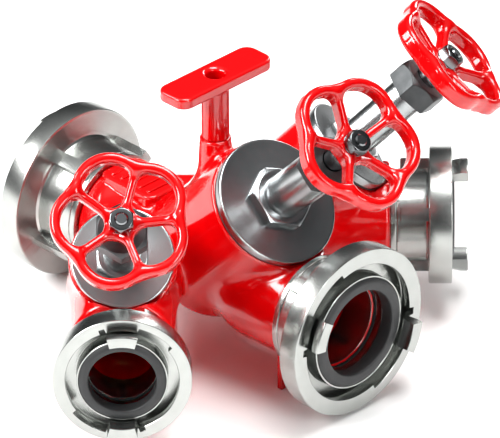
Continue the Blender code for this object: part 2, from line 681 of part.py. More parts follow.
def add_bonnet(branch, place):
    """Bonnet with hex and stuffing box, its gasket, packing and gland nut."""
    valve = branch.valve
    face = valve.bonnet_face
    name = branch.name
    under = face - valve.flange_thickness
    top = face + valve.up_tube
    rim = BONNET_EDGE
    skirt = valve.chamber_radius - GAP
    outer = [(0.0, under - valve.skirt_length), (skirt, under - valve.skirt_length), (skirt, under),
             (valve.flange_radius, under), (valve.flange_radius, face - rim),
             (valve.flange_radius - rim, face), (valve.tube_radius, face),
             (valve.tube_radius, top), (0.0, top)]
    bonnet = add_object(name + "_bonnet", turned(outer, TUBE_STEPS), place, "silver")
    hexagon = prism(polygon(6, valve.hex_flat / 2), face - CUT_MARGIN, face + valve.up_hex, NUT_EDGE)
    combine(bonnet, "UNION", hexagon, place)
    bore = valve.spindle_radius + GAP
    recess = valve.chamber_radius - BONNET_RECESS_WALL
    mouth = under - valve.skirt_length - CUT_MARGIN
    box = top - valve.packing_depth
    cavity = [(0.0, mouth), (recess, mouth), (recess, under - BONNET_EDGE), (bore, under), (bore, box),
              (valve.packing_radius, box), (valve.packing_radius, top + CUT_MARGIN),
              (0.0, top + CUT_MARGIN)]
    combine(bonnet, "DIFFERENCE", turned(cavity, TUBE_STEPS), place)
    gasket_low = under - GAP - valve.gasket_thickness
    gasket = ring(valve.flange_radius - CAST_EDGE, skirt + 2 * GAP, gasket_low, under - GAP)
    add_object(name + "_bonnet_gasket", gasket, place, "rubber")
    packing_top = top - PACKING_DROP
    packing = ring(valve.packing_radius - GAP, bore, box + GAP, packing_top, SMALL_STEPS)
    add_object(name + "_packing_ring", packing, place, "rubber")
    gland_low = top + GAP
    gland_top = gland_low + valve.gland_height
    gland = prism(polygon(6, valve.gland_flat / 2), gland_low, gland_top, NUT_EDGE)
    gland_nut = add_object(name + "_gland_nut", gland, place, "dark")
    sleeve_radius = valve.packing_radius - GAP
    sleeve = cylinder(sleeve_radius, packing_top + GAP, gland_low + CUT_MARGIN, SMALL_STEPS)
    combine(gland_nut, "UNION", sleeve, place)
    hole = cylinder(bore, packing_top - CUT_MARGIN, gland_top + CUT_MARGIN, SMALL_STEPS)
    combine(gland_nut, "DIFFERENCE", hole, place)


def add_spindle(branch, place, rotor):
    """Turned spindle: disc seat, threaded shank and the handwheel's seat and stud."""
    valve = branch.valve
    rim = valve.bonnet_face + valve.up_rim
    shoulder = disc_levels()[2] + GAP
    hub_low = rim + HUB_BASE - GAP
    stud_start = rim + HUB_TOP - WHEEL_EDGE
    stud_top = rim + HUB_TOP + 2 * GAP + WASHER_THICKNESS + NUT_HEIGHT + STUD_END
    tip = seat_height() - STEM_END
    profile = [(0.0, tip), (SQUARE_RADIUS, tip), (SQUARE_RADIUS, shoulder),
               (valve.spindle_radius, shoulder), (valve.spindle_radius, hub_low),
               (SQUARE_RADIUS, hub_low), (SQUARE_RADIUS, stud_start), (STUD_RADIUS, stud_start),
               (STUD_RADIUS, stud_top - WHEEL_EDGE), (STUD_RADIUS - WHEEL_EDGE, stud_top), (0.0, stud_top)]
    spindle = add_object(branch.name + "_spindle", turned(profile, SMALL_STEPS), place, "steel")
    attach(spindle, rotor)


def attach(piece, parent):
    """Parent a piece without moving it."""
    piece.parent = parent
    piece.matrix_parent_inverse = parent.matrix_world.inverted()


def rim_radius(angle):
    """Distance from the wheel's centre to the rim's middle line at an angle; valleys at angle 0."""
    lobe = WHEEL_LOBE_RADIUS - RIM_WIDTH / 2.0
    valley = WHEEL_VALLEY_RADIUS - RIM_WIDTH / 2.0
    wave = math.hypot(math.sin(WHEEL_LOBES * angle / 2.0), VALLEY_SOFTNESS)
    highest = math.hypot(1.0, VALLEY_SOFTNESS)
    return valley + (lobe - valley) * (wave - VALLEY_SOFTNESS) / (highest - VALLEY_SOFTNESS)


def rim_mesh():
    """Closed, lobed rim with a rounded section."""
    bm = bmesh.new()
    loops = []
    for step in range(RIM_STEPS):
        angle = 2.0 * math.pi * step / RIM_STEPS
        delta = 1e-4
        slope = (rim_radius(angle + delta) - rim_radius(angle - delta)) / (2.0 * delta)
        radius = rim_radius(angle)
        centre = Vector((radius * math.cos(angle), radius * math.sin(angle), 0.0))
        normal = Vector((math.cos(angle) * radius + math.sin(angle) * slope,
                         math.sin(angle) * radius - math.cos(angle) * slope, 0.0)).normalized()
        loop = []
        for side in range(RIM_SIDES):
            turn = 2.0 * math.pi * (side + 0.5) / RIM_SIDES
            across = RIM_WIDTH / 2.0 * rounded(math.cos(turn))
            along = RIM_HEIGHT / 2.0 * rounded(math.sin(turn))
            loop.append(bm.verts.new(centre + normal * across + Vector((0.0, 0.0, along))))
        loops.append(loop)
    for index, loop in enumerate(loops):
        following = loops[(index + 1) % RIM_STEPS]
        for side in range(RIM_SIDES):
            other = (side + 1) % RIM_SIDES
            bm.faces.new((loop[side], following[side], following[other], loop[other]))
    return bm


def rounded(value):
    """Push a sine or cosine outward, so that the section is a rounded box."""
    return math.copysign(abs(value) ** 0.65, value)


def spoke_mesh():
    """One spoke along +X, from inside the hub to the rim's valley."""
    inner = HUB_RADIUS * 0.8
    outer = WHEEL_VALLEY_RADIUS - RIM_WIDTH / 2.0
    half = SPOKE_WIDTH / 2.0
    thick = SPOKE_HEIGHT / 2.0
    middle = (HUB_TOP + HUB_BASE) / 2.0
    points = []
    for x, z, width in ((inner, middle, half * 1.4), (outer, 0.0, half * 0.85)):
        for side in (-1.0, 1.0):
            points += [(x, side * width, z), (x, side * width * 0.6, z - thick),
                       (x, side * width * 0.6, z + thick)]
    return hull(points)


def add_handwheel(branch, place, rotor):
    """Handwheel, its washer and its nut."""
    valve = branch.valve
    rim = valve.bonnet_face + valve.up_rim
    centre = place @ Matrix.Translation((0.0, 0.0, rim)) @ Matrix.Rotation(branch.wheel_phase, 4, "Z")
    name = branch.name
    wheel = add_object(name + "_handwheel", rim_mesh(), centre, "cast")
    for index in range(WHEEL_LOBES):
        turn = Matrix.Rotation(2.0 * math.pi * index / WHEEL_LOBES, 4, "Z")
        combine(wheel, "UNION", spoke_mesh(), centre @ turn)
    edge = WHEEL_EDGE
    boss = [(0.0, HUB_BASE), (HUB_RADIUS - edge, HUB_BASE), (HUB_RADIUS, HUB_BASE + edge),
            (HUB_RADIUS, HUB_TOP - edge), (HUB_RADIUS - edge, HUB_TOP), (0.0, HUB_TOP)]
    combine(wheel, "UNION", turned(boss, SMALL_STEPS), centre)
    hole = cylinder(SQUARE_RADIUS + GAP, HUB_BASE - CUT_MARGIN, HUB_TOP + CUT_MARGIN, SMALL_STEPS)
    combine(wheel, "DIFFERENCE", hole, centre)
    washer_low = rim + HUB_TOP + GAP
    washer = ring(WASHER_RADIUS, STUD_RADIUS + GAP, washer_low, washer_low + WASHER_THICKNESS, SMALL_STEPS)
    nut_low = washer_low + WASHER_THICKNESS + GAP
    nut_top = nut_low + NUT_HEIGHT
    nut = prism(polygon(6, NUT_FLAT / 2), nut_low, nut_top, NUT_EDGE)
    wheel_nut = add_object(name + "_wheel_nut", nut, place, "steel")
    hole = cylinder(STUD_RADIUS + GAP, nut_low - CUT_MARGIN, nut_top + CUT_MARGIN, SMALL_STEPS)
    combine(wheel_nut, "DIFFERENCE", hole, place)
    for piece in (wheel, wheel_nut, add_object(name + "_washer", washer, place, "steel")):
        attach(piece, rotor)


# ---- handle ----------------------------------------------------------------------------------
def add_handle():
    """T-handle: hollow column with a flat grip, and the screw inside it."""
    place = line_frame(FRONT, HANDLE_REACH) @ Matrix.Rotation(-math.pi / 2.0, 4, "X")
    grip_low = HANDLE_TOP - GRIP_THICKNESS
    outline = rounded_rectangle(GRIP_LENGTH, GRIP_DEPTH, GRIP_CORNER)
    grip = prism(outline, grip_low, HANDLE_TOP, GRIP_EDGE)
    handle = add_object("carrying_handle", grip, place, "cast")
    foot = HANDLE_FOOT + GAP
    root = grip_low + CUT_MARGIN
    column = [(0.0, foot), (HANDLE_COLUMN_RADIUS, foot), (HANDLE_COLUMN_RADIUS, grip_low - GRIP_FLARE),
              (HANDLE_COLUMN_RADIUS + GRIP_FLARE, root), (0.0, root)]
    combine(handle, "UNION", turned(column, SMALL_STEPS), place)
    floor = foot + HANDLE_FLOOR
    mouth = HANDLE_MOUTH_RADIUS - HANDLE_BORE_RADIUS
    start = foot - CUT_MARGIN
    end = HANDLE_TOP + CUT_MARGIN
    bore = [(0.0, start), (SCREW_RADIUS + GAP, start), (SCREW_RADIUS + GAP, floor),
            (HANDLE_BORE_RADIUS, floor), (HANDLE_BORE_RADIUS, HANDLE_TOP - mouth),
            (HANDLE_MOUTH_RADIUS, HANDLE_TOP), (HANDLE_MOUTH_RADIUS, end), (0.0, end)]
    combine(handle, "DIFFERENCE", turned(bore, SMALL_STEPS), place)
    head_low = floor + GAP
    head_top = head_low + SCREW_HEAD_HEIGHT
    tip = HANDLE_FOOT - SCREW_DEPTH + SCREW_TIP_CLEARANCE
    screw = [(0.0, tip), (SCREW_RADIUS, tip), (SCREW_RADIUS, head_low), (SCREW_HEAD_RADIUS, head_low),
             (SCREW_HEAD_RADIUS, head_top - SCREW_EDGE), (SCREW_HEAD_RADIUS - SCREW_EDGE, head_top),
             (0.0, head_top)]
    bolt = add_object("handle_screw", turned(screw, SMALL_STEPS), place, "dark")
    socket = prism(polygon(6, SCREW_SOCKET), head_top - SCREW_SOCKET_DEPTH, head_top + CUT_MARGIN)
    combine(bolt, "DIFFERENCE", socket, place)


# ---- assembly --------------------------------------------------------------------------------
FINISHES = {
    "cast": ((0.72, 0.008, 0.010), 0.18, 0.0),
    "silver": ((0.60, 0.61, 0.62), 0.32, 1.0),
    "steel": ((0.42, 0.43, 0.44), 0.28, 1.0),
    "dark": ((0.035, 0.040, 0.042), 0.42, 0.6),
    "brass": ((0.62, 0.46, 0.20), 0.35, 1.0),
    "rubber": ((0.018, 0.018, 0.019), 0.62, 0.0),
}


def build():
    """Build the whole distributor."""
    clear_scene()
    add_casting()
    inlet_face = line_frame(-FRONT, INLET_REACH)
    add_coupling("inlet", COUPLING_INLET, inlet_face, INLET_TWIST, INLET_RIB_TURN)
    for branch in BRANCHES:
        outlet_face = line_frame(branch.heading, branch.valve.outlet_reach)
        add_coupling(branch.name, branch.coupling, outlet_face, branch.twist, OUTLET_RIB_TURN)
        add_valve(branch)
    add_handle()


build()
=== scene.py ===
"""Looks of a fire-hose dividing breeching: glossy red castings, turned aluminium, steel and rubber.

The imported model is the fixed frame. Every visible piece is built here again as a finer mesh in the
same place, in metres with +Z up, and rides on the body that carries its CAD node. Castings are
solid fields whose shapes flow into each other with real fillets; everything turned, and every nut,
is an outline carried round an axis.
"""

import json
import logging
import math
from dataclasses import dataclass, replace
from enum import Enum
from typing import Any, Callable, Sequence

import bpy
import numpy as np
from mathutils import Matrix, Vector

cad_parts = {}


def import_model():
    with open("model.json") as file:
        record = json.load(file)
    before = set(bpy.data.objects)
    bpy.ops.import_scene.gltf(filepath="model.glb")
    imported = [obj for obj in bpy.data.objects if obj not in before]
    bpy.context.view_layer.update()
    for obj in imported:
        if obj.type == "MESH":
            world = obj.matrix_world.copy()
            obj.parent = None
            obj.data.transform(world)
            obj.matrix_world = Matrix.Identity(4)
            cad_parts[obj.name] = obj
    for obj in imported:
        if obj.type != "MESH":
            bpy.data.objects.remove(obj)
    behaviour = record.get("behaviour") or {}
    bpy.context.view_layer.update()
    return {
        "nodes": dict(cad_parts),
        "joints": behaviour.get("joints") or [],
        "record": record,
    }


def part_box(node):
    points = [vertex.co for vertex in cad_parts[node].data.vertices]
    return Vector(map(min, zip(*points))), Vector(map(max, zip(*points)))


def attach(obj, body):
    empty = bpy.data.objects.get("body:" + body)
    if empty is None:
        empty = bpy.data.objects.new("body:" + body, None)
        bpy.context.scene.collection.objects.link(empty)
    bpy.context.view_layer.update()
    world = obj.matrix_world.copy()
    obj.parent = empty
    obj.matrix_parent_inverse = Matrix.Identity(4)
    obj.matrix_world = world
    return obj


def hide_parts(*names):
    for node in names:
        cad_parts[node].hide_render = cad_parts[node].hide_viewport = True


LOG = logging.getLogger("breeching")
MM = 0.001
GAP = 0.3 * MM
UP = Vector((0.0, 0.0, 1.0))
RED = "red_enamel"
NOISE_SPAN = (0.3, 0.7)             # where nearly all of a noise's values lie

Profile = list[tuple[float, float]]
Field = Callable[[np.ndarray], np.ndarray]


# ---- shader helpers ----------------------------------------------------------------------------
def linear(colour: str) -> tuple[float, float, float, float]:
    """Turn an sRGB hex colour into linear RGBA.

    Args:
        colour: six hex digits after a '#'.

    Returns:
        The linear colour with an alpha of 1.
    """
    channels = [int(colour[i:i + 2], 16) / 255.0 for i in (1, 3, 5)]
    red, green, blue = [c / 12.92 if c <= 0.04045 else ((c + 0.055) / 1.055) ** 2.4
                        for c in channels]
    return (red, green, blue, 1.0)


def add_node(tree: bpy.types.NodeTree, kind: str, inputs: dict[Any, Any] | None = None,
             **settings: Any) -> bpy.types.Node:
    """Add one node to a tree.

    Args:
        tree: the node tree.
        kind: the node's type name.
        inputs: socket name or index, to a constant or to the output that feeds it.
        **settings: attributes of the node itself.

    Returns:
        The new node.
    """
    node = tree.nodes.new(kind)
    for name, value in settings.items():
        setattr(node, name, value)
    for key, value in (inputs or {}).items():
        if isinstance(value, bpy.types.NodeSocket):
            tree.links.new(value, node.inputs[key])
        else:
            node.inputs[key].default_value = value
    return node


@dataclass
class Dresser:
    """A material under construction: its tree, its shader and coordinates in metres."""
    name: str

    def __post_init__(self) -> None:
        """Start the material with a Principled shader."""
        self.material = bpy.data.materials.new(self.name)
        self.material.use_nodes = True
        self.tree = self.material.node_tree
        self.shader = self.tree.nodes["Principled BSDF"]
        self.place = add_node(self.tree, "ShaderNodeTexCoord").outputs["Object"]

    def set(self, **values: Any) -> None:
        """Set or link sockets of the shader.

        Args:
            **values: socket names with '_' for a space, to constants or outputs.
        """
        for key, value in values.items():
            socket = self.shader.inputs[key.replace("_", " ")]
            if isinstance(value, bpy.types.NodeSocket):
                self.tree.links.new(value, socket)
            else:
                socket.default_value = value

    def grain(self, size: float, detail: float = 2.0,
              vector: bpy.types.NodeSocket | None = None) -> bpy.types.NodeSocket:
        """Noise with grains of a real size.

        Args:
            size: size of a grain in metres.
            detail: octaves of finer noise.
            vector: coordinates, the object's own when left out.

        Returns:
            The noise's factor.
        """
        inputs = {"Vector": vector or self.place, "Scale": 1.0 / size, "Detail": detail}
        return add_node(self.tree, "ShaderNodeTexNoise", inputs).outputs["Fac"]

    def span(self, value: bpy.types.NodeSocket, low: float, high: float) -> bpy.types.NodeSocket:
        """Map a noise's usual span to another one.

        Args:
            value: the noise's factor.
            low: result at the start of the usual span.
            high: result at its end.

        Returns:
            The mapped value.
        """
        inputs = {"Value": value, "From Min": NOISE_SPAN[0], "From Max": NOISE_SPAN[1],
                  "To Min": low, "To Max": high}
        return add_node(self.tree, "ShaderNodeMapRange", inputs).outputs["Result"]

    def tones(self, value: bpy.types.NodeSocket, first: str, second: str) -> bpy.types.NodeSocket:
        """Mix two colours.

        Args:
            value: factor from 0 to 1.
            first: sRGB hex at 0.
            second: sRGB hex at 1.

        Returns:
            The mixed colour.
        """
        mix = add_node(self.tree, "ShaderNodeMix", data_type="RGBA")
        self.tree.links.new(value, mix.inputs[0])
        mix.inputs[6].default_value = linear(first)
        mix.inputs[7].default_value = linear(second)
        return mix.outputs[2]

    def bump(self, height: bpy.types.NodeSocket, depth: float,
             over: bpy.types.NodeSocket | None = None) -> bpy.types.NodeSocket:
        """Bump of a real depth.

        Args:
            height: pattern from 0 to 1.
            depth: its depth in metres.
            over: a normal that it lies on.

        Returns:
            The bent normal.
        """
        inputs: dict[Any, Any] = {"Height": height, "Distance": depth, "Strength": 1.0}
        if over is not None:
            inputs["Normal"] = over
        return add_node(self.tree, "ShaderNodeBump", inputs).outputs["Normal"]

    def lathe_place(self) -> bpy.types.NodeSocket:
        """Coordinates that are the same all the way round the object's own Z axis."""
        flat = add_node(self.tree, "ShaderNodeVectorMath", {0: self.place, 1: (1.0, 1.0, 0.0)},
                        operation="MULTIPLY").outputs["Vector"]
        radius = add_node(self.tree, "ShaderNodeVectorMath", {0: flat},
                          operation="LENGTH").outputs["Value"]
        height = add_node(self.tree, "ShaderNodeSeparateXYZ", {"Vector": self.place}).outputs["Z"]
        return add_node(self.tree, "ShaderNodeCombineXYZ",
                        {"X": radius, "Z": height}).outputs["Vector"]


# ---- finishes ----------------------------------------------------------------------------------
class Making(Enum):
    """How a metal surface was made."""
    TURNED = "turned"
    BLACKENED = "blackened"


@dataclass(frozen=True)
class Enamel:
    """Stoved enamel on sand-cast aluminium: a deep wet gloss over a slightly uneven casting."""
    name: str
    colour: str
    shade: str
    roughness: float
    peel_size: float = 1.8 * MM       # soft dimples that sprayed enamel dries with
    peel_depth: float = 0.008 * MM
    cast_size: float = 12.0 * MM      # slow waves of the sand mould, still felt through the enamel
    cast_depth: float = 0.060 * MM
    drift_size: float = 35.0 * MM     # patches where the coat is a shade deeper
    gloss_size: float = 6.0 * MM      # patches that are a little duller
    coat: float = 0.35                # the clear skin, which gives the hard highlights
    coat_roughness: float = 0.03
    ior: float = 1.52

    def material(self) -> bpy.types.Material:
        """Build the material."""
        dress = Dresser(self.name)
        drift = dress.span(dress.grain(self.drift_size), 0.0, 1.0)
        waves = dress.bump(dress.grain(self.cast_size, 1.0), self.cast_depth)
        dress.set(Base_Color=dress.tones(drift, self.colour, self.shade),
                  Roughness=dress.span(dress.grain(self.gloss_size, 3.0), self.roughness - 0.03,
                                       self.roughness + 0.05),
                  IOR=self.ior, Coat_Weight=self.coat, Coat_Roughness=self.coat_roughness,
                  Normal=dress.bump(dress.grain(self.peel_size, 1.0), self.peel_depth, waves))
        return dress.material


@dataclass(frozen=True)
class Metal:
    """Bare metal whose marks follow how it was made."""
    name: str
    colour: str
    worn: str
    roughness: float
    making: Making = Making.TURNED
    pitch: float = 0.45 * MM          # turning marks, coarser than the tool's true feed
    depth: float = 0.0009 * MM
    streak: float = 0.12              # how far the roughness follows the marks
    stretch: float = 0.0              # anisotropy of turned faces, which fans their highlights out
    metallic: float = 1.0
    patch_size: float = 9.0 * MM      # handling marks, which shift the colour a little

    def material(self) -> bpy.types.Material:
        """Build the material."""
        dress = Dresser(self.name)
        turned = self.making is Making.TURNED
        marks = dress.grain(self.pitch, 3.0, dress.lathe_place() if turned else None)
        patches = dress.grain(self.patch_size, 4.0)
        spread = self.roughness * self.streak
        dress.set(Base_Color=dress.tones(dress.span(patches, 0.0, 1.0), self.colour, self.worn),
                  Metallic=self.metallic,
                  Roughness=dress.span(marks, self.roughness - spread, self.roughness + spread),
                  Normal=dress.bump(marks, self.depth))
        if self.stretch > 0.0:
            tangent = add_node(dress.tree, "ShaderNodeTangent", direction_type="RADIAL", axis="Z")
            dress.set(Anisotropic=self.stretch, Tangent=tangent.outputs["Tangent"])
        return dress.material


@dataclass(frozen=True)
class Rubber:
    """Moulded nitrile rubber: almost black, dull, with a fine leathery skin and grey dust."""
    name: str
    colour: str = "#202122"
    dust: str = "#2F3031"
    roughness: float = 0.5
    skin_size: float = 0.9 * MM       # the leathery print of the mould
    skin_depth: float = 0.02 * MM
    dust_size: float = 14.0 * MM

    def material(self) -> bpy.types.Material:
        """Build the material."""
        dress = Dresser(self.name)
        skin = dress.grain(self.skin_size, 4.0)
        dust = dress.span(dress.grain(self.dust_size, 5.0), 0.0, 0.7)
        dress.set(Base_Color=dress.tones(dust, self.colour, self.dust),
                  Roughness=dress.span(skin, self.roughness - 0.08, self.roughness + 0.1),
                  Normal=dress.bump(skin, self.skin_depth))
        return dress.material


@dataclass(frozen=True)
class FloorPaint:
    """Pale matt floor with the faintest unevenness."""
    name: str = "pale_floor"
    colour: str = "#FAFAF9"
    shade: str = "#F6F6F5"
    patch_size: float = 250.0 * MM
    roughness: float = 0.6

    def material(self) -> bpy.types.Material:
        """Build the material."""
        dress = Dresser(self.name)
        dress.set(Base_Color=dress.tones(dress.grain(self.patch_size), self.colour, self.shade),
                  Roughness=self.roughness)
        return dress.material


FINISHES = (
    # sprayed thick over a sand casting: wet highlights that wander with the casting's slow waves
    Enamel(RED, "#D00205", "#BD0104", 0.09),
    # forged, then turned with a fine feed: pale, with highlights that fan out round the axis
    Metal("turned_aluminium", "#B0B2AF", "#A9ABA8", 0.25, depth=0.0004 * MM,
          streak=0.07, stretch=0.3),
    # turned with a coarser feed and not polished: rings that show, and a wider fan of light
    Metal("bonnet_aluminium", "#A9ACAD", "#A2A5A6", 0.24, stretch=0.4),
    # ground bar: darker than aluminium, with tight reflections
    Metal("stainless_steel", "#8D9092", "#84878A", 0.2),
    # bright zinc on rolled steel: the darkest of the bare metals
    Metal("zinc_steel", "#77797B", "#6D6F71", 0.2),
    # etched to a crystalline dark grey that scatters light, with no turning marks left
    Metal("phosphated_steel", "#4E5051", "#3F4142", 0.42, Making.BLACKENED, pitch=0.5 * MM,
          depth=0.012 * MM, metallic=0.85),
    # turned brass gone dull in water
    Metal("valve_brass", "#C9A765", "#B08F52", 0.3),
    # moulded: a soft sheen on an almost black, faintly dusty skin
    Rubber("seal_rubber"),
    # punched from sheet: duller and a little darker
    Rubber("gasket_rubber", "#1D1E1F", "#29292A", 0.6),
    FloorPaint(),
)


@dataclass
class Wardrobe:
    """All materials, each built once."""

    def __post_init__(self) -> None:
        """Build every finish."""
        self.materials = {finish.name: finish.material() for finish in FINISHES}

    def dress(self, obj: bpy.types.Object, finish: str) -> None:
        """Give an object one finish.

        Args:
            obj: the object.
            finish: the finish's name.
        """
        obj.data.materials.clear()
        obj.data.materials.append(self.materials[finish])


# ---- frames ------------------------------------------------------------------------------------
def frame_on(out: Vector, origin: Vector) -> Matrix:
    """Frame whose +Z is 'out' and whose +Y is as upright as it can be.

    Args:
        out: the direction of +Z.
        origin: its origin.

    Returns:
        The frame's matrix.
    """
    side = UP.cross(out).normalized()
    rotation = Matrix((side, out.cross(side), out)).transposed().to_4x4()
    return Matrix.Translation(origin) @ rotation


@dataclass(frozen=True)
class Layout:
    """Where the waterways and spindles lie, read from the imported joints."""
    large_reach: float = 79.9 * MM
    joints: tuple[dict, ...] = ()

    def joint(self, name: str) -> dict:
        """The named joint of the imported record."""
        return next(joint for joint in self.joints if joint["name"] == name)

    def hub(self) -> Vector:
        """The point where all waterways meet."""
        return Vector(self.joint("centre_turn")["pos_m"]) - self.out("centre") * self.large_reach

    def spindle(self, name: str) -> Matrix:
        """Frame on a valve's spindle, with its origin on the waterway's axis."""
        joint = self.joint(name + "_turn")
        return frame_on(Vector(joint["axis"]).normalized(), Vector(joint["pos_m"]))

    def out(self, name: str) -> Vector:
        """Level direction in which an outlet points; the inlet points the other way."""
        if name == "inlet":
            return -self.out("centre")
        axis = Vector(self.joint(name + "_turn")["axis"])
        return Vector((axis.x, axis.y, 0.0)).normalized()

    def line(self, name: str, distance: float = 0.0) -> Matrix:
        """Frame on a waterway's axis at a distance from the hub."""
        out = self.out(name)
        return frame_on(out, self.hub() + out * distance)


# ---- meshes from outlines ----------------------------------------------------------------------
def add_piece(name: str, verts: np.ndarray, faces: Sequence[Sequence[int]], place: Matrix,
              sharp: float = 40.0) -> bpy.types.Object:
    """Add a mesh object.

    Args:
        name: its name.
        verts: points in its own frame.
        faces: corner indices of each face.
        place: its frame.
        sharp: edges that turn by more degrees than this stay sharp.

    Returns:
        The object.
    """
    mesh = bpy.data.meshes.new(name)
    mesh.from_pydata([tuple(map(float, v)) for v in verts], [], [tuple(map(int, f)) for f in faces])
    mesh.update()
    mesh.shade_smooth()
    mesh.set_sharp_from_angle(angle=math.radians(sharp))
    obj = bpy.data.objects.new(name, mesh)
    bpy.context.scene.collection.objects.link(obj)
    obj.matrix_world = place
    return obj


def even_angles(steps: int) -> list[float]:
    """Angles of a full turn in equal steps."""
    return [2.0 * math.pi * k / steps for k in range(steps)]


def carried(name: str, outline: Callable[[float], Profile], angles: Sequence[float], place: Matrix,
            sharp: float = 40.0) -> bpy.types.Object:
    """Carry a closed outline, which may change on the way, once round the Z axis.

    Args:
        name: the object's name.
        outline: gives the (radius, z) outline at an angle, always with as many points, running
            anticlockwise with the radius to the right.
        angles: the stations, in order.
        place: the object's frame.
        sharp: sharpness angle in degrees.

    Returns:
        The object.
    """
    rings = [outline(angle) for angle in angles]
    count = len(rings[0])
    verts = [(r * math.cos(a), r * math.sin(a), z)
             for a, ring in zip(angles, rings) for r, z in ring]
    faces = []
    for i in range(len(angles)):
        j = (i + 1) % len(angles)
        for k in range(count):
            m = (k + 1) % count
            faces.append((i * count + k, j * count + k, j * count + m, i * count + m))
    return add_piece(name, np.array(verts), faces, place, sharp)


def softened(corners: Sequence[tuple[float, float, float]], steps: int = 3) -> Profile:
    """Round the corners of a closed outline.

    Args:
        corners: radius, z and rounding radius of each corner.
        steps: straight bits in each rounding.

    Returns:
        The rounded outline.
    """
    points: Profile = []
    count = len(corners)
    for index, (x, y, rounding) in enumerate(corners):
        here = Vector((x, y))
        if rounding <= 0.0:
            points.append((x, y))
            continue
        before = Vector(corners[index - 1][:2]) - here
        after = Vector(corners[(index + 1) % count][:2]) - here
        reach = min(rounding, before.length * 0.49, after.length * 0.49)
        first = here + before.normalized() * reach
        last = here + after.normalized() * reach
        for step in range(steps + 1):
            t = step / steps
            point = first * (1 - t) ** 2 + here * 2 * t * (1 - t) + last * t ** 2
            points.append((point.x, point.y))
    return points


def turned(name: str, corners: Sequence[tuple[float, float, float]], place: Matrix,
           steps: int = 96) -> bpy.types.Object:
    """A plain turned piece with rounded corners.

    Args:
        name: its name.
        corners: radius, z and rounding radius of each corner of its outline.
        place: frame on its axis.
        steps: stations round the axis.

    Returns:
        The piece.
    """
    outline = softened(corners)
    return carried(name, lambda angle: outline, even_angles(steps), place)


@dataclass(frozen=True)
class Nut:
    """A hexagon nut with both the flats and the turned chamfer of a real one."""
    flats: float
    height: float
    bore: float
    chamfer: float                  # drop of the corners below the top face
    foot_chamfer: float = 0.3 * MM
    # stations of one flat in degrees, close at its corners, where the chamfer's curve is seen
    turns: tuple[float, ...] = (-29.4, -26.0, -20.0, -12.0, 0.0, 12.0, 20.0, 26.0, 29.4)
    face: float = 0.97              # where the chamfer starts, as a share of half the flats

    def build(self, name: str, place: Matrix, base: float) -> bpy.types.Object:
        """Build the nut.

        Args:
            name: its name.
            place: frame on its axis.
            base: height of its underside.

        Returns:
            The nut.
        """
        angles = [math.radians(60.0 * side + turn) for side in range(6) for turn in self.turns]
        half = self.flats / 2.0
        corner = half / math.cos(math.radians(30.0))
        slope = self.chamfer / (corner - half * self.face)
        top = base + self.height

        def outline(angle: float) -> Profile:
            """Outline of the nut at an angle, lowest at its corners."""
            turn = (math.degrees(angle) + 30.0) % 60.0 - 30.0
            reach = half / math.cos(math.radians(turn))
            drop = max(0.0, reach - half * self.face) * slope
            foot = max(0.0, reach - half) * self.foot_chamfer / (corner - half)
            return softened([(self.bore, base, 0.0), (reach - foot, base, 0.0),
                             (reach, base + foot, 0.0), (reach, top - drop, 0.35 * MM),
                             (half * 0.95, top, 0.3 * MM), (self.bore + 0.4 * MM, top, 0.0),
                             (self.bore, top - 0.4 * MM, 0.0)], 2)

        return carried(name, outline, angles, place, 28.0)


# ---- meshes from solid fields ------------------------------------------------------------------
def rounded(first: np.ndarray, second: np.ndarray, edge: float) -> np.ndarray:
    """Distance to what lies inside two walls, with the rim where they meet rounded.

    Args:
        first: distance to one wall, drawn in by the rounding.
        second: distance to the other, drawn in as well.
        edge: the rounding's radius.

    Returns:
        Signed distance, negative inside.
    """
    outside = np.hypot(np.maximum(first, 0.0), np.maximum(second, 0.0))
    return outside + np.minimum(np.maximum(first, second), 0.0) - edge


def rod(points: np.ndarray, start: Vector, end: Vector, radius: float,
        edge: float = 0.0) -> np.ndarray:
    """Distance to a round rod with rounded ends' edges.

    Args:
        points: sample points.
        start: centre of one end.
        end: centre of the other.
        radius: its radius.
        edge: rounding of both rims.

    Returns:
        Signed distance, negative inside.
    """
    axis = np.array((end - start).normalized())
    local = points - np.array(start)
    along = local @ axis
    out = np.linalg.norm(local - along[:, None] * axis, axis=1) - radius + edge
    half = (end - start).length / 2.0
    over = np.abs(along - half) - half + edge
    return rounded(out, over, edge)


def egg(points: np.ndarray, place: Matrix, radii: Sequence[float]) -> np.ndarray:
    """Distance to an ellipsoid, close enough near its surface.

    Args:
        points: sample points.
        place: the ellipsoid's frame.
        radii: its three half axes.

    Returns:
        Signed distance.
    """
    local = to_local(points, place)
    scaled = local / np.array(radii)
    first = np.linalg.norm(scaled, axis=1)
    second = np.linalg.norm(scaled / np.array(radii), axis=1) + 1e-9
    return first * (first - 1.0) / second


def to_local(points: np.ndarray, place: Matrix) -> np.ndarray:
    """Points in a frame's own coordinates."""
    inverse = np.array(place.inverted())
    return points @ inverse[:3, :3].T + inverse[:3, 3]


def slab(points: np.ndarray, place: Matrix, half: Sequence[float], corner: float,
         edge: float) -> np.ndarray:
    """Distance to a flat slab: a rounded rectangle in X and Y, with an edge rounding along Z.

    Args:
        points: sample points.
        place: the slab's frame.
        half: half sizes.
        corner: corner radius in plan.
        edge: rounding of the upper and lower edges.

    Returns:
        Signed distance.
    """
    local = np.abs(to_local(points, place))
    x = local[:, 0] - half[0] + corner
    y = local[:, 1] - half[1] + corner
    plan = rounded(x, y, corner) + edge
    over = local[:, 2] - half[2] + edge
    return rounded(plan, over, edge)


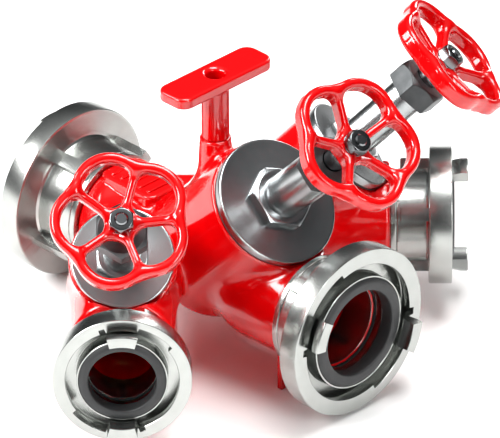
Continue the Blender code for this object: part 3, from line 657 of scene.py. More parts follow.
def blend(first: np.ndarray, second: np.ndarray, fillet: float) -> np.ndarray:
    """Join two solids with a fillet.

    Args:
        first: distance to one solid.
        second: distance to the other.
        fillet: how far from the joint the fillet reaches.

    Returns:
        Signed distance to both together.
    """
    share = np.clip(0.5 + 0.5 * (second - first) / fillet, 0.0, 1.0)
    return second * (1.0 - share) + first * share - fillet * share * (1.0 - share)


def carve(solid: np.ndarray, tool: np.ndarray, edge: float) -> np.ndarray:
    """Cut a tool out of a solid and soften the rim that it leaves."""
    return -blend(-solid, tool, edge)


def skin(solid: Field, low: Vector, high: Vector, step: float) -> tuple[np.ndarray, np.ndarray]:
    """Cover the surface of a field with a mesh of quads, then pull its points exactly on to it.

    Args:
        solid: the signed distance field.
        low: lowest corner of the box to search.
        high: highest corner.
        step: size of a cell.

    Returns:
        The vertices and the quads.
    """
    counts = [int(math.ceil((high[i] - low[i]) / step)) + 1 for i in range(3)]
    axes = [low[i] + step * np.arange(counts[i]) for i in range(3)]
    grid = np.empty(counts, np.float32)
    flat = np.array(np.meshgrid(axes[1], axes[2], indexing="ij")).reshape(2, -1).T
    for i, x in enumerate(axes[0]):
        sheet = np.column_stack([np.full(len(flat), x), flat])
        grid[i] = solid(sheet).reshape(counts[1:])
    inside = grid < 0.0
    cells = tuple(count - 1 for count in counts)
    corners = [(i, j, k) for i in (0, 1) for j in (0, 1) for k in (0, 1)]
    total = sum(inside[i:i + cells[0], j:j + cells[1], k:k + cells[2]].astype(np.int8)
                for i, j, k in corners)
    where = np.argwhere((total > 0) & (total < 8))
    number = np.full(cells, -1, np.int64)
    number[tuple(where.T)] = np.arange(len(where))
    value = {c: grid[tuple((where + c).T)] for c in corners}
    summed = np.zeros((len(where), 3))
    hits = np.zeros(len(where))
    for first in corners:
        for axis in range(3):
            if first[axis]:
                continue
            second = tuple(c + (1 if n == axis else 0) for n, c in enumerate(first))
            a, b = value[first], value[second]
            cross = (a < 0.0) != (b < 0.0)
            share = np.where(cross, a / np.where(cross, a - b, 1.0), 0.0)
            point = np.tile(np.array(first, float), (len(where), 1))
            point[:, axis] += share
            summed += point * cross[:, None]
            hits += cross
    verts = np.array(low) + step * (where + summed / hits[:, None])
    quads = []
    for axis in range(3):
        u, v = (axis + 1) % 3, (axis + 2) % 3
        near = np.moveaxis(inside, (axis, u, v), (0, 1, 2))
        change = np.argwhere(near[:-1, 1:-1, 1:-1] != near[1:, 1:-1, 1:-1])
        table = np.moveaxis(number, (axis, u, v), (0, 1, 2))
        i, j, k = change[:, 0], change[:, 1] + 1, change[:, 2] + 1
        ring = np.stack([table[i, j - 1, k - 1], table[i, j, k - 1], table[i, j, k],
                         table[i, j - 1, k]], 1)
        solid_first = near[i, j, k]
        quads.append(np.where(solid_first[:, None], ring, ring[:, ::-1]))
    return settle(solid, verts, step), np.vstack(quads)


def settle(solid: Field, verts: np.ndarray, step: float, rounds: int = 4) -> np.ndarray:
    """Move points along the field's slope until they lie on its surface.

    Args:
        solid: the field.
        verts: points near its surface.
        step: size of a cell, which bounds how far a point moves in a round.
        rounds: how often they are moved.

    Returns:
        The moved points.
    """
    reach = 0.15 * step
    for _ in range(rounds):
        here = solid(verts)
        slope = np.stack([(solid(verts + reach * unit) - solid(verts - reach * unit))
                          / (2.0 * reach) for unit in np.eye(3)], 1)
        size = np.maximum((slope ** 2).sum(1), 0.2)
        move = -(here / size)[:, None] * slope
        length = np.linalg.norm(move, axis=1, keepdims=True) + 1e-12
        verts = verts + move * np.minimum(1.0, 0.4 * step / length)
    return verts


# ---- couplings ---------------------------------------------------------------------------------
@dataclass(frozen=True)
class Coupling:
    """A forged and turned claw coupling, measured from its ring face (z = 0) backwards."""
    ring: float
    hub: float
    hub_length: float
    collar: float
    lip: float
    groove: float
    boss: float
    seal: float
    seal_bore: float
    bore: float
    socket: float
    rib: float
    rib_width: float
    lug_inner: float
    lug_outer: float
    hook: float
    lug_half: float                 # degrees, as all angles here
    ring_length: float = 16.5 * MM
    recess: float = 12.0 * MM
    lip_depth: float = 5.5 * MM
    seal_depth: float = 9.0 * MM
    seal_stand: float = 1.9 * MM
    shoulder: float = 15.0 * MM
    lug_reach: float = 11.6 * MM
    hook_length: float = 6.2 * MM
    window: float = 38.0
    notch: float = 6.0
    fillet: float = 4.0 * MM
    steep: float = 0.7              # width of the slanted end of a lug, window or rib

    def length(self) -> float:
        """Ring face to the collar's back."""
        return self.ring_length + self.hub_length + self.collar

    def outline(self, lug: bool, window: bool, rib: bool) -> Profile:
        """Outline at one angle.

        Args:
            lug: a lug stands here.
            window: the ring's lip is cut away here.
            rib: a wrench rib stands here.

        Returns:
            The closed outline.
        """
        back = -self.length()
        hub_back = back + self.collar
        ring_back = -self.ring_length
        lip = self.groove - 0.2 * MM if window else self.lip
        reach = self.lug_reach if lug else -self.recess
        hook = self.hook if lug else self.lug_outer
        under = self.lug_reach - self.hook_length if lug else -self.recess
        edge = 0.9 * MM
        rib_reach = self.rib if rib else self.hub
        rib_low = hub_back + 2.5 * MM
        corners = [
            (self.socket, back, 0.3 * MM), (self.hub, back, 1.0 * MM),
            (self.hub, hub_back - 0.5 * MM, 0.4 * MM),
            (self.hub - 0.9 * MM, hub_back, 0.3 * MM), (self.hub, hub_back + 0.5 * MM, 0.4 * MM),
            (self.hub, rib_low, 0.0), (rib_reach, rib_low + 0.05 * MM, edge if rib else 0.0),
            (rib_reach, ring_back - 0.2 * MM, 0.0 if rib else self.fillet),
            (self.ring - 2.5 * MM, ring_back, 0.0), (self.ring, ring_back + 0.1 * MM, 1.6 * MM),
            (self.ring, -0.05 * MM, 1.5 * MM), (self.ring - 1.6 * MM, 0.0, 0.0),
            (lip, 0.0, 0.8 * MM), (lip, -self.lip_depth, 0.5 * MM),
            (self.groove, -self.lip_depth, 0.0), (self.groove, -self.recess, 1.5 * MM),
            (self.lug_outer + 0.1 * MM, -self.recess, 0.6 * MM), (self.lug_outer, under, 0.6 * MM),
            (hook, under, 0.8 * MM), (hook, reach, 1.2 * MM), (self.lug_inner, reach, 1.2 * MM),
            (self.lug_inner - 0.1 * MM, -self.recess, 0.6 * MM),
            (self.boss, -self.recess, 0.8 * MM), (self.boss, 0.0, 0.5 * MM),
            (self.seal, 0.0, 0.3 * MM), (self.seal, -self.seal_depth, 0.0),
            (self.bore, -self.seal_depth, 0.5 * MM), (self.bore, -self.shoulder, 0.3 * MM),
            (self.socket, -self.shoulder, 0.0)]
        return softened(corners)

    def features(self, rib_turn: float) -> tuple[list[tuple[float, float]], ...]:
        """Find where each feature stands.

        Args:
            rib_turn: middle of the first rib, in degrees from the first lug.

        Returns:
            Spans in degrees of the lugs, of the cut lip and of the ribs.
        """
        lugs, cuts, ribs = [], [], []
        for side in (0.0, 180.0):
            lugs.append((side - self.lug_half, side + self.lug_half))
            cuts.append((side - self.lug_half - self.window, side - self.lug_half))
            cuts.append((side + self.lug_half + 1.0, side + self.lug_half + 1.0 + self.notch))
        half = math.degrees(self.rib_width / 2.0 / self.rib)
        for quarter in range(4):
            middle = rib_turn + 90.0 * quarter
            ribs.append((middle - half, middle + half))
        return lugs, cuts, ribs

    def build(self, name: str, place: Matrix, rib_turn: float,
              steps: int = 120) -> bpy.types.Object:
        """Build the coupling's body.

        Args:
            name: its name.
            place: frame on its axis with +X through the first lug.
            rib_turn: first rib, in degrees from the first lug.
            steps: even stations, to which every feature adds its own.

        Returns:
            The body.
        """
        spans = self.features(rib_turn)
        stations = {round(360.0 * k / steps, 3) for k in range(steps)}
        for low, high in (span for group in spans for span in group):
            for edge in (low, high):
                stations -= {s for s in stations if abs((s - edge + 180.0) % 360.0 - 180.0) < 1.2}
            stations |= {round(edge + turn, 3) % 360.0 for edge in (low, high)
                         for turn in (-self.steep / 2.0, self.steep / 2.0)}

        def within(group: Sequence[tuple[float, float]], angle: float) -> bool:
            """Whether an angle in degrees lies in one of the spans."""
            return any(abs((angle - (low + high) / 2.0 + 180.0) % 360.0 - 180.0)
                       < (high - low) / 2.0 for low, high in group)

        def outline(angle: float) -> Profile:
            """Outline at an angle, with the features that stand there."""
            here = math.degrees(angle)
            return self.outline(*(within(group, here) for group in spans))

        angles = [math.radians(s) for s in sorted(stations)]
        return carried(name, outline, angles, place, 32.0)

    def face_seal(self, name: str, place: Matrix) -> bpy.types.Object:
        """The rubber seal that stands a little proud of the ring face."""
        low = -self.seal_depth + GAP
        outer = self.seal - GAP
        return turned(name, [(self.seal_bore, low, 0.4 * MM), (outer, low, 0.4 * MM),
                             (outer, 0.2 * MM, 0.5 * MM),
                             (outer - 2.6 * MM, self.seal_stand, 1.2 * MM),
                             (self.seal_bore, self.seal_stand, 1.5 * MM)], place)


LARGE_COUPLING = Coupling(
    ring=63.0 * MM, hub=42.2 * MM, hub_length=22.9 * MM, collar=5.0 * MM, lip=51.4 * MM,
    groove=55.2 * MM, boss=42.6 * MM, seal=41.3 * MM, seal_bore=32.0 * MM, bore=32.6 * MM,
    socket=37.6 * MM, rib=49.0 * MM, rib_width=11.0 * MM, lug_inner=44.5 * MM, lug_outer=49.0 * MM,
    hook=53.6 * MM, lug_half=13.0)
INLET_COUPLING = replace(LARGE_COUPLING, hub_length=32.0 * MM)
SMALL_COUPLING = Coupling(
    ring=49.0 * MM, hub=33.25 * MM, hub_length=22.9 * MM, collar=4.6 * MM, lip=40.0 * MM,
    groove=43.5 * MM, boss=32.1 * MM, seal=31.0 * MM, seal_bore=24.0 * MM, bore=25.0 * MM,
    socket=29.6 * MM, rib=40.4 * MM, rib_width=10.0 * MM, lug_inner=33.0 * MM, lug_outer=37.4 * MM,
    hook=41.5 * MM, lug_half=15.5)


# ---- valves ------------------------------------------------------------------------------------
@dataclass(frozen=True)
class Valve:
    """One screw-down valve; heights run along the spindle from the waterway's axis."""
    reach: float
    neck: float
    chamber: float
    face: float
    flange: float
    hexagon: float
    tube: float
    gland_flats: float
    seat_bore: float
    seat: float
    disc: float
    tube_in: float
    bore_in: float
    outlet_tube: float
    outlet_bore: float
    outlet_start: float
    outlet_round: float
    rim_up: float
    tube_up: float
    flange_thickness: float = 6.2 * MM
    hexagon_up: float = 9.0 * MM
    gland_height: float = 16.7 * MM
    packing: float = 11.0 * MM
    packing_depth: float = 10.0 * MM
    gasket: float = 1.5 * MM
    skirt: float = 12.0 * MM
    spindle: float = 8.0 * MM
    stem: float = 5.5 * MM
    seat_top: float = 7.5 * MM
    seat_ledge: float = 5.0 * MM
    seal_thickness: float = 3.0 * MM
    seal_hole: float = 10.6 * MM
    disc_thickness: float = 7.5 * MM
    disc_nut_flats: float = 17.3 * MM
    disc_nut_drop: float = 4.5 * MM  # how far the nut stands out below the seal
    tip_drop: float = 7.0 * MM       # from the seat down to the spindle's tip
    pitch: float = 4.0 * MM
    thread_depth: float = 0.9 * MM

    def neck_top(self) -> float:
        """Height of the casting's face below the gasket."""
        return self.face - self.flange_thickness - self.gasket - 2.0 * GAP

    def rim(self) -> float:
        """Height of the handwheel's rim."""
        return self.face + self.rim_up

    def bonnet(self, name: str, place: Matrix) -> bpy.types.Object:
        """Turned bonnet with its flange, root fillet, stuffing box and hollow underside."""
        under = self.face - self.flange_thickness
        foot = under - self.skirt
        top = self.face + self.tube_up
        bore = self.spindle + GAP
        wall = self.chamber - 6.0 * MM
        return turned(name, [
            (wall, foot, 0.6 * MM), (self.chamber - GAP, foot, 0.8 * MM),
            (self.chamber - GAP, under, 0.0),
            (self.flange - 0.4 * MM, under, 0.3 * MM), (self.flange, under + 0.5 * MM, 0.3 * MM),
            (self.flange, self.face - 0.1 * MM, 1.3 * MM),
            (self.flange - 2.0 * MM, self.face, 0.4 * MM), (self.tube, self.face, 5.0 * MM),
            (self.tube, top, 1.0 * MM), (self.packing, top, 0.4 * MM),
            (self.packing, top - self.packing_depth, 0.0),
            (bore, top - self.packing_depth, 0.3 * MM),
            (bore, under, 0.3 * MM), (wall, under - 2.0 * MM, 2.0 * MM)], place, 128)

    def build(self, name: str, place: Matrix) -> dict[str, tuple[bpy.types.Object, str]]:
        """Build every turned piece and nut of the valve.

        Args:
            name: the outlet's name.
            place: frame on the spindle.

        Returns:
            Node name to its object and finish.
        """
        pieces: dict[str, tuple[bpy.types.Object, str]] = {}
        under = self.face - self.flange_thickness
        top = self.face + self.tube_up
        pieces["bonnet"] = (self.bonnet(name + "_bonnet_shape", place), "bonnet_aluminium")
        hexagon = Nut(self.hexagon, self.hexagon_up, self.tube - 1.0 * MM, 1.6 * MM)
        flats = hexagon.build(name + "_bonnet_flats", place, self.face - 0.5 * MM)
        pieces["bonnet_flats"] = (flats, "bonnet_aluminium")
        gasket = [(self.chamber + GAP, under - GAP - self.gasket, 0.2 * MM),
                  (self.flange - 0.6 * MM, under - GAP - self.gasket, 0.5 * MM),
                  (self.flange - 0.6 * MM, under - GAP, 0.5 * MM),
                  (self.chamber + GAP, under - GAP, 0.2 * MM)]
        pieces["bonnet_gasket"] = (turned(name + "_bonnet_gasket_shape", gasket, place),
                                   "gasket_rubber")
        gland = Nut(self.gland_flats, self.gland_height, self.spindle + GAP, 3.6 * MM, 0.8 * MM)
        pieces["gland_nut"] = (gland.build(name + "_gland_nut_shape", place, top + GAP),
                               "phosphated_steel")
        seat = self.seat - GAP
        ledge = self.seat_ledge + GAP
        ring = [(self.seat_bore, 0.0, 0.5 * MM), (seat, 0.0, 0.5 * MM), (seat, ledge, 0.0),
                (self.seat + 2.0 * MM, ledge, 0.3 * MM),
                (self.seat + 2.0 * MM, self.seat_top, 0.5 * MM),
                (self.seat_bore, self.seat_top, 0.8 * MM)]
        pieces["seat_ring"] = (turned(name + "_seat_ring_shape", ring, place), "valve_brass")
        pieces.update(self.closing(name, place))
        pieces.update(self.drive(name, place))
        return pieces

    def closing(self, name: str, place: Matrix) -> dict[str, tuple[bpy.types.Object, str]]:
        """Valve disc, its seal and its nut, in the closed state."""
        seal_low = self.seat_top + GAP
        low = seal_low + self.seal_thickness
        top = low + self.disc_thickness
        bore = self.stem + GAP
        disc = [(bore, low, 0.2 * MM), (self.disc, low, 0.4 * MM),
                (self.disc, top - 2.0 * MM, 1.0 * MM), (self.disc - 2.0 * MM, top, 0.6 * MM),
                (bore, top, 0.2 * MM)]
        seal = [(self.seal_hole, seal_low, 0.3 * MM), (self.disc - 1.0 * MM, seal_low, 0.8 * MM),
                (self.disc - 1.0 * MM, low - GAP, 0.3 * MM), (self.seal_hole, low - GAP, 0.3 * MM)]
        nut = Nut(self.disc_nut_flats, self.disc_nut_drop + self.seal_thickness - GAP, bore,
                  0.8 * MM)
        return {
            "valve_disc": (turned(name + "_valve_disc_shape", disc, place), "valve_brass"),
            "valve_disc_seal": (turned(name + "_valve_disc_seal_shape", seal, place),
                                "seal_rubber"),
            "valve_disc_nut": (nut.build(name + "_valve_disc_nut_shape", place,
                                         seal_low - self.disc_nut_drop), "valve_brass")}

    def drive(self, name: str, place: Matrix) -> dict[str, tuple[bpy.types.Object, str]]:
        """Spindle with its cut thread, and the wheel's washer and nut."""
        rim = self.rim()
        shoulder = self.seat_top + self.seal_thickness + self.disc_thickness + 2.0 * GAP
        seat_low = rim + WHEEL.hub_base - GAP
        stud_low = rim + WHEEL.hub_top - 1.0 * MM
        washer_low = rim + WHEEL.hub_top + GAP
        nut_low = washer_low + WHEEL.washer + GAP
        nut_top = nut_low + WHEEL.nut
        stud_top = nut_top + WHEEL.stud_end
        tip = self.seat_top - self.tip_drop
        outline: Profile = [(0.0, tip), (self.stem - 0.8 * MM, tip), (self.stem, tip + 0.8 * MM),
                            (self.stem, shoulder), (self.spindle, shoulder)]
        outline += thread(self.spindle, shoulder + 1.0 * MM, self.face - 4.0 * MM, self.pitch,
                          self.thread_depth)
        outline += [(self.spindle, seat_low - 1.0 * MM), (self.spindle - 1.0 * MM, seat_low),
                    (self.stem, seat_low), (self.stem, stud_low), (WHEEL.stud, stud_low)]
        outline += thread(WHEEL.stud, nut_low, stud_top - 1.1 * MM, WHEEL.stud_pitch,
                          WHEEL.stud_depth)
        outline += [(WHEEL.stud, stud_top - 0.9 * MM), (WHEEL.stud - 0.9 * MM, stud_top),
                    (0.0, stud_top)]
        spindle = lathe_solid(name + "_spindle_shape", outline, place)
        washer = [(WHEEL.stud + GAP, washer_low, 0.2 * MM),
                  (WHEEL.washer_radius, washer_low, 0.3 * MM),
                  (WHEEL.washer_radius, washer_low + WHEEL.washer, 0.3 * MM),
                  (WHEEL.stud + GAP, washer_low + WHEEL.washer, 0.2 * MM)]
        nut = Nut(WHEEL.nut_flats, WHEEL.nut, WHEEL.stud + 0.15 * MM, 1.5 * MM, 0.4 * MM)
        return {
            "spindle": (spindle, "stainless_steel"),
            "washer": (turned(name + "_washer_shape", washer, place), "stainless_steel"),
            "wheel_nut": (nut.build(name + "_wheel_nut_shape", place, nut_low), "zinc_steel")}


def thread(radius: float, low: float, high: float, pitch: float, depth: float) -> Profile:
    """Outline of a thread, drawn as rings, up a shaft.

    Args:
        radius: the shaft's radius.
        low: where the thread starts.
        high: where it ends.
        pitch: from one groove to the next.
        depth: depth of the grooves.

    Returns:
        The outline's points, upwards.
    """
    points: Profile = []
    for turn in range(int((high - low) / pitch)):
        base = low + turn * pitch
        points += [(radius, base), (radius, base + 0.3 * pitch),
                   (radius - depth, base + 0.55 * pitch), (radius - depth, base + 0.75 * pitch)]
    return points + [(radius, high)]


def lathe_solid(name: str, outline: Profile, place: Matrix, steps: int = 64) -> bpy.types.Object:
    """A turned piece whose outline starts and ends on the axis.

    Args:
        name: its name.
        outline: radius and z of its points, upwards.
        place: frame on its axis.
        steps: stations round the axis.

    Returns:
        The piece.
    """
    inner = outline[1:-1]
    count = len(inner)
    verts = [(r * math.cos(a), r * math.sin(a), z) for a in even_angles(steps) for r, z in inner]
    verts += [(0.0, 0.0, outline[0][1]), (0.0, 0.0, outline[-1][1])]
    faces: list[tuple[int, ...]] = []
    for i in range(steps):
        j = (i + 1) % steps
        faces += [(i * count + k, j * count + k, j * count + k + 1, i * count + k + 1)
                  for k in range(count - 1)]
        faces.append((len(verts) - 2, j * count, i * count))
        faces.append((len(verts) - 1, i * count + count - 1, j * count + count - 1))
    return add_piece(name, np.array(verts), faces, place)


@dataclass(frozen=True)
class Handwheel:
    """Cast handwheel with five lobes and five deep spokes; z = 0 is the middle of its rim."""
    lobes: int = 5
    lobe: float = 50.3 * MM
    valley: float = 43.5 * MM
    softness: float = 0.22
    rim_width: float = 7.4 * MM
    rim_height: float = 13.0 * MM
    rim_rounding: float = 3.5 * MM
    hub: float = 11.8 * MM
    hub_top: float = -4.0 * MM
    hub_base: float = -14.0 * MM
    spoke_half: float = 2.9 * MM
    spoke_rise: float = 2.6 * MM
    spoke_drop: float = 0.8 * MM    # how far below the rim's middle the spokes meet it
    hub_rounding: float = 1.8 * MM
    fillet: float = 6.5 * MM
    bore: float = 5.8 * MM
    stud: float = 4.5 * MM
    washer_radius: float = 8.8 * MM
    washer: float = 1.4 * MM
    nut_flats: float = 16.5 * MM
    nut: float = 8.2 * MM
    stud_end: float = 1.5 * MM
    stud_pitch: float = 1.25 * MM
    stud_depth: float = 0.5 * MM
    step: float = 0.85 * MM

    def radius(self, angle: np.ndarray) -> np.ndarray:
        """Radius of the rim's middle line; the valleys start at angle 0."""
        wave = np.hypot(np.sin(self.lobes * angle / 2.0), self.softness)
        share = (wave - self.softness) / (math.hypot(1.0, self.softness) - self.softness)
        return self.valley - self.rim_width / 2.0 + (self.lobe - self.valley) * share

    def solid(self, points: np.ndarray) -> np.ndarray:
        """Signed distance to the whole wheel."""
        x, y, z = points.T
        reach = np.hypot(x, y)
        angle = np.arctan2(y, x)
        middle = self.radius(angle)
        slope = (self.radius(angle + 0.01) - self.radius(angle - 0.01)) / 0.02 / middle
        across = (np.abs(reach - middle) / np.hypot(1.0, slope) - self.rim_width / 2.0
                  + self.rim_rounding)
        along = np.abs(z) - self.rim_height / 2.0 + self.rim_rounding
        rim = rounded(across, along, self.rim_rounding)
        sector = 2.0 * math.pi / self.lobes
        turn = (angle + sector / 2.0) % sector - sector / 2.0
        u, v = reach * np.cos(turn), reach * np.sin(turn)
        inner, outer = self.hub * 0.6, self.valley - self.rim_width / 2.0
        share = np.clip((u - inner) / (outer - inner), 0.0, 1.0)
        height = (self.hub_top + self.hub_base) / 2.0 * (1.0 - share) - self.spoke_drop * share
        deep = np.maximum(np.abs(z - height) - self.spoke_rise, 0.0)
        beyond = np.maximum(inner - u, 0.0) + np.maximum(u - outer, 0.0)
        spokes = np.sqrt(v ** 2 + deep ** 2 + beyond ** 2) - self.spoke_half
        hub = rod(points, UP * self.hub_base, UP * self.hub_top, self.hub, self.hub_rounding)
        body = blend(blend(spokes, hub, self.fillet), rim, self.fillet)
        return carve(body, reach - self.bore, 0.5 * MM)

    def mesh(self) -> tuple[np.ndarray, np.ndarray]:
        """Mesh shared by all three wheels."""
        reach = self.lobe + 2.0 * MM
        low = Vector((-reach, -reach, self.hub_base - 2.0 * MM))
        high = Vector((reach, reach, self.rim_height / 2.0 + 2.0 * MM))
        return skin(self.solid, low, high, self.step)


WHEEL = Handwheel()
LARGE_VALVE = Valve(
    reach=79.9 * MM, neck=47.7 * MM, chamber=40.7 * MM, face=104.7 * MM, flange=47.0 * MM,
    hexagon=42.0 * MM, tube=15.9 * MM, gland_flats=36.0 * MM, seat_bore=23.5 * MM, seat=29.0 * MM,
    disc=31.0 * MM, tube_in=33.1 * MM, bore_in=26.5 * MM, outlet_tube=38.5 * MM,
    outlet_bore=31.0 * MM, outlet_start=101.0 * MM, outlet_round=44.0 * MM, rim_up=109.8 * MM,
    tube_up=60.5 * MM)
SMALL_VALVE = Valve(
    reach=103.0 * MM, neck=38.3 * MM, chamber=31.5 * MM, face=82.0 * MM, flange=36.6 * MM,
    hexagon=36.0 * MM, tube=13.7 * MM, gland_flats=35.7 * MM, seat_bore=19.0 * MM, seat=24.0 * MM,
    disc=25.5 * MM, tube_in=29.0 * MM, bore_in=23.5 * MM, outlet_tube=38.3 * MM,
    outlet_bore=25.0 * MM, outlet_start=85.0 * MM, outlet_round=30.0 * MM, rim_up=98.4 * MM,
    tube_up=58.3 * MM)


@dataclass(frozen=True)
class Branch:
    """One waterway that ends in a coupling; the inlet has no valve."""
    name: str
    coupling: Coupling
    face: float                     # hub to the ring face
    twist: float                    # degrees from level to the first lug
    rib_turn: float
    valve: Valve | None = None
    wheel_phase: float = 0.0        # degrees

    def back(self) -> float:
        """Hub to the face of the casting behind the coupling."""
        return self.face - self.coupling.length() - GAP


BRANCHES = (
    Branch("inlet", INLET_COUPLING, 62.4 * MM, 90.0, -32.0),
    Branch("centre", LARGE_COUPLING, 234.5 * MM, -22.0, -30.0, LARGE_VALVE, 8.2),
    Branch("left", SMALL_COUPLING, 233.0 * MM, 90.0, -30.0, SMALL_VALVE, 2.5),
    Branch("right", SMALL_COUPLING, 233.0 * MM, 90.0, -30.0, SMALL_VALVE, 5.5),
)


# ---- castings ----------------------------------------------------------------------------------
@dataclass(frozen=True)
class Foot:
    """A plate foot that hangs across a waterway; sizes in millimetres."""
    line: str
    reach: float                    # hub to the plate
    half: float                     # half its width
    tube: float                     # radius of the tube it hangs from
    gusset: bool = True


FEET = (Foot("centre", 173.0, 17.0, 38.5), Foot("centre", 4.0, 24.0, 33.1, False),
        Foot("left", 160.0, 13.0, 38.3), Foot("right", 160.0, 13.0, 38.3))
INLET_BORE = 26.5 * MM
BARE_BORE = 26.0 * MM               # length at each waterway's end that is left bare metal


@dataclass(frozen=True)
class Casting:
    """The red cast body: waterways, valve necks, pad, handle boss and plate feet."""
    layout: Layout
    inlet_boss: float = 37.9 * MM
    boss_length: float = 10.0 * MM
    boss_round: float = 18.0 * MM
    pad_half: float = 18.7 * MM
    pad_low: float = 18.0 * MM
    pad_top: float = 38.2 * MM
    pad_front: float = 45.5 * MM
    pad_corner: float = 8.0 * MM
    pad_edge: float = 1.4 * MM
    rib: tuple[float, float, float] = (13.5 * MM, 1.6 * MM, 1.2 * MM)
    handle_reach: float = 92.0 * MM
    handle_foot: float = 101.6 * MM
    handle_boss: float = 11.2 * MM
    handle_tap: float = 4.3 * MM
    draft: float = 0.045            # how fast the handle's boss widens downwards
    foot_half: float = 2.25 * MM
    gusset_length: float = 48.0 * MM
    tube_fillet: float = 7.0 * MM
    body_fillet: float = 10.0 * MM
    neck_fillet: float = 9.0 * MM
    foot_fillet: float = 4.0 * MM
    rim: float = 2.4 * MM           # rounding of the casting's ends behind the couplings
    edge: float = 0.8 * MM          # softening of machined rims
    step: float = 1.7 * MM

    def at(self, name: str, along: float, up: float = 0.0, side: float = 0.0) -> Vector:
        """Point in a waterway's own terms."""
        return self.layout.line(name) @ Vector((side, up, along))

    def pipe(self, points: np.ndarray, name: str, start: float, end: float, radius: float,
             edge: float = 0.0) -> np.ndarray:
        """Distance to a rod on a waterway's axis.

        Args:
            points: sample points.
            name: the waterway.
            start: one end, measured from the hub.
            end: the other.
            radius: its radius.
            edge: rounding of both rims.

        Returns:
            Signed distance.
        """
        return rod(points, self.at(name, start), self.at(name, end), radius, edge)

    def post(self, points: np.ndarray, name: str, low: float, high: float, radius: float,
             edge: float = 0.0) -> np.ndarray:
        """Distance to a rod on a spindle's axis; as pipe, with heights from the waterway."""
        place = self.layout.spindle(name)
        return rod(points, place @ Vector((0, 0, low)), place @ Vector((0, 0, high)), radius, edge)

    def spigot(self, points: np.ndarray, branch: Branch, start: float) -> np.ndarray:
        """Distance to the thin tube end that the coupling is screwed on to."""
        end = branch.face - branch.coupling.shoulder - 2.6 * MM
        return self.pipe(points, branch.name, start, end, branch.coupling.socket - 1.0 * MM,
                         1.0 * MM)

    def outlet(self, points: np.ndarray, body: np.ndarray, branch: Branch) -> np.ndarray:
        """Add one outlet's tube, its rounded body, spigot and valve neck.

        Args:
            points: sample points.
            body: distance to the casting so far.
            branch: the outlet.

        Returns:
            Signed distance to all of it.
        """
        valve, name = branch.valve, branch.name
        tube = self.pipe(points, name, 0.0, valve.reach + 20.0 * MM, valve.tube_in)
        body = blend(body, tube, self.tube_fillet)
        middle = valve.outlet_start + valve.outlet_round
        start = egg(points, self.layout.line(name, middle),
                    (valve.outlet_tube, valve.outlet_tube, valve.outlet_round))
        tube = self.pipe(points, name, middle, branch.back(), valve.outlet_tube, self.rim)
        wide = blend(start, tube, 1.0 * MM)
        neck = self.post(points, name, 0, valve.neck_top(), valve.neck, 1.2 * MM)
        body = blend(body, wide, self.body_fillet)
        body = blend(body, neck, self.neck_fillet)
        return np.minimum(body, self.spigot(points, branch, middle))

    def feet(self, points: np.ndarray, body: np.ndarray) -> np.ndarray:
        """Add the plate feet and their gussets.

        Args:
            points: sample points.
            body: distance to the casting so far.

        Returns:
            Signed distance to all of it.
        """
        height = self.layout.hub().z
        for foot in FEET:
            low, high = -height, -0.6 * foot.tube * MM
            place = (self.layout.line(foot.line, foot.reach * MM)
                     @ Matrix.Translation((0, (low + high) / 2.0, 0)))
            half = (foot.half * MM + 0.6 * MM, (high - low) / 2.0, self.foot_half)
            plate = slab(points, place, half, 1.5 * MM, 1.2 * MM)
            body = blend(body, plate, self.foot_fillet)
            if foot.gusset:
                body = blend(body, self.gusset(points, foot), self.foot_fillet)
        return body

    def gusset(self, points: np.ndarray, foot: Foot) -> np.ndarray:
        """Distance to the thin triangular web behind one foot."""
        local = to_local(points, self.layout.line(foot.line, foot.reach * MM))
        root = -0.75 * foot.tube * MM
        drop = root + self.layout.hub().z - 8.0 * MM
        length = self.gusset_length
        size = math.hypot(drop, length)
        slant = (-(local[:, 1] - root) * length - (local[:, 2]) * drop - drop * length) / size
        under = np.maximum(slant, np.maximum(local[:, 2], local[:, 1] - root - 8.0 * MM))
        return np.maximum(under, np.abs(local[:, 0]) - 2.5 * MM)

    def solid(self, points: np.ndarray) -> np.ndarray:
        """Signed distance to the whole casting."""
        inlet = BRANCHES[0]
        back = inlet.back()
        core = back - self.boss_length
        body = self.pipe(points, "inlet", core - 4.0 * MM, back, self.inlet_boss, self.rim)
        body = blend(body, egg(points, self.layout.line("inlet", core),
                               (self.inlet_boss, self.inlet_boss, self.boss_round)), 2.0 * MM)
        for branch in BRANCHES[1:]:
            body = self.outlet(points, body, branch)
        foot = self.at("centre", self.handle_reach, 64.0 * MM)
        top = self.at("centre", self.handle_reach, self.handle_foot)
        boss = rod(points, foot - UP * 12.0 * MM, top, self.handle_boss, 0.8 * MM)
        lean = (self.handle_foot - to_local(points, self.layout.line("centre"))[:, 1]) * self.draft
        body = blend(body, boss - np.clip(lean, 0.0, 2.0 * MM), 8.0 * MM)
        pad_back = back - 2.0 * GAP
        length = self.pad_front + pad_back
        half = (self.pad_half, length / 2.0, (self.pad_top - self.pad_low) / 2.0)
        centre = self.layout.hub() + Vector((0.0, pad_back - length / 2.0,
                                             (self.pad_low + self.pad_top) / 2.0))
        pad = slab(points, Matrix.Translation(centre), half, self.pad_corner, self.pad_edge)
        body = self.feet(points, blend(body, pad, self.pad_edge))
        return self.hollow(points, np.minimum(body, self.spigot(points, inlet, 0.0)))

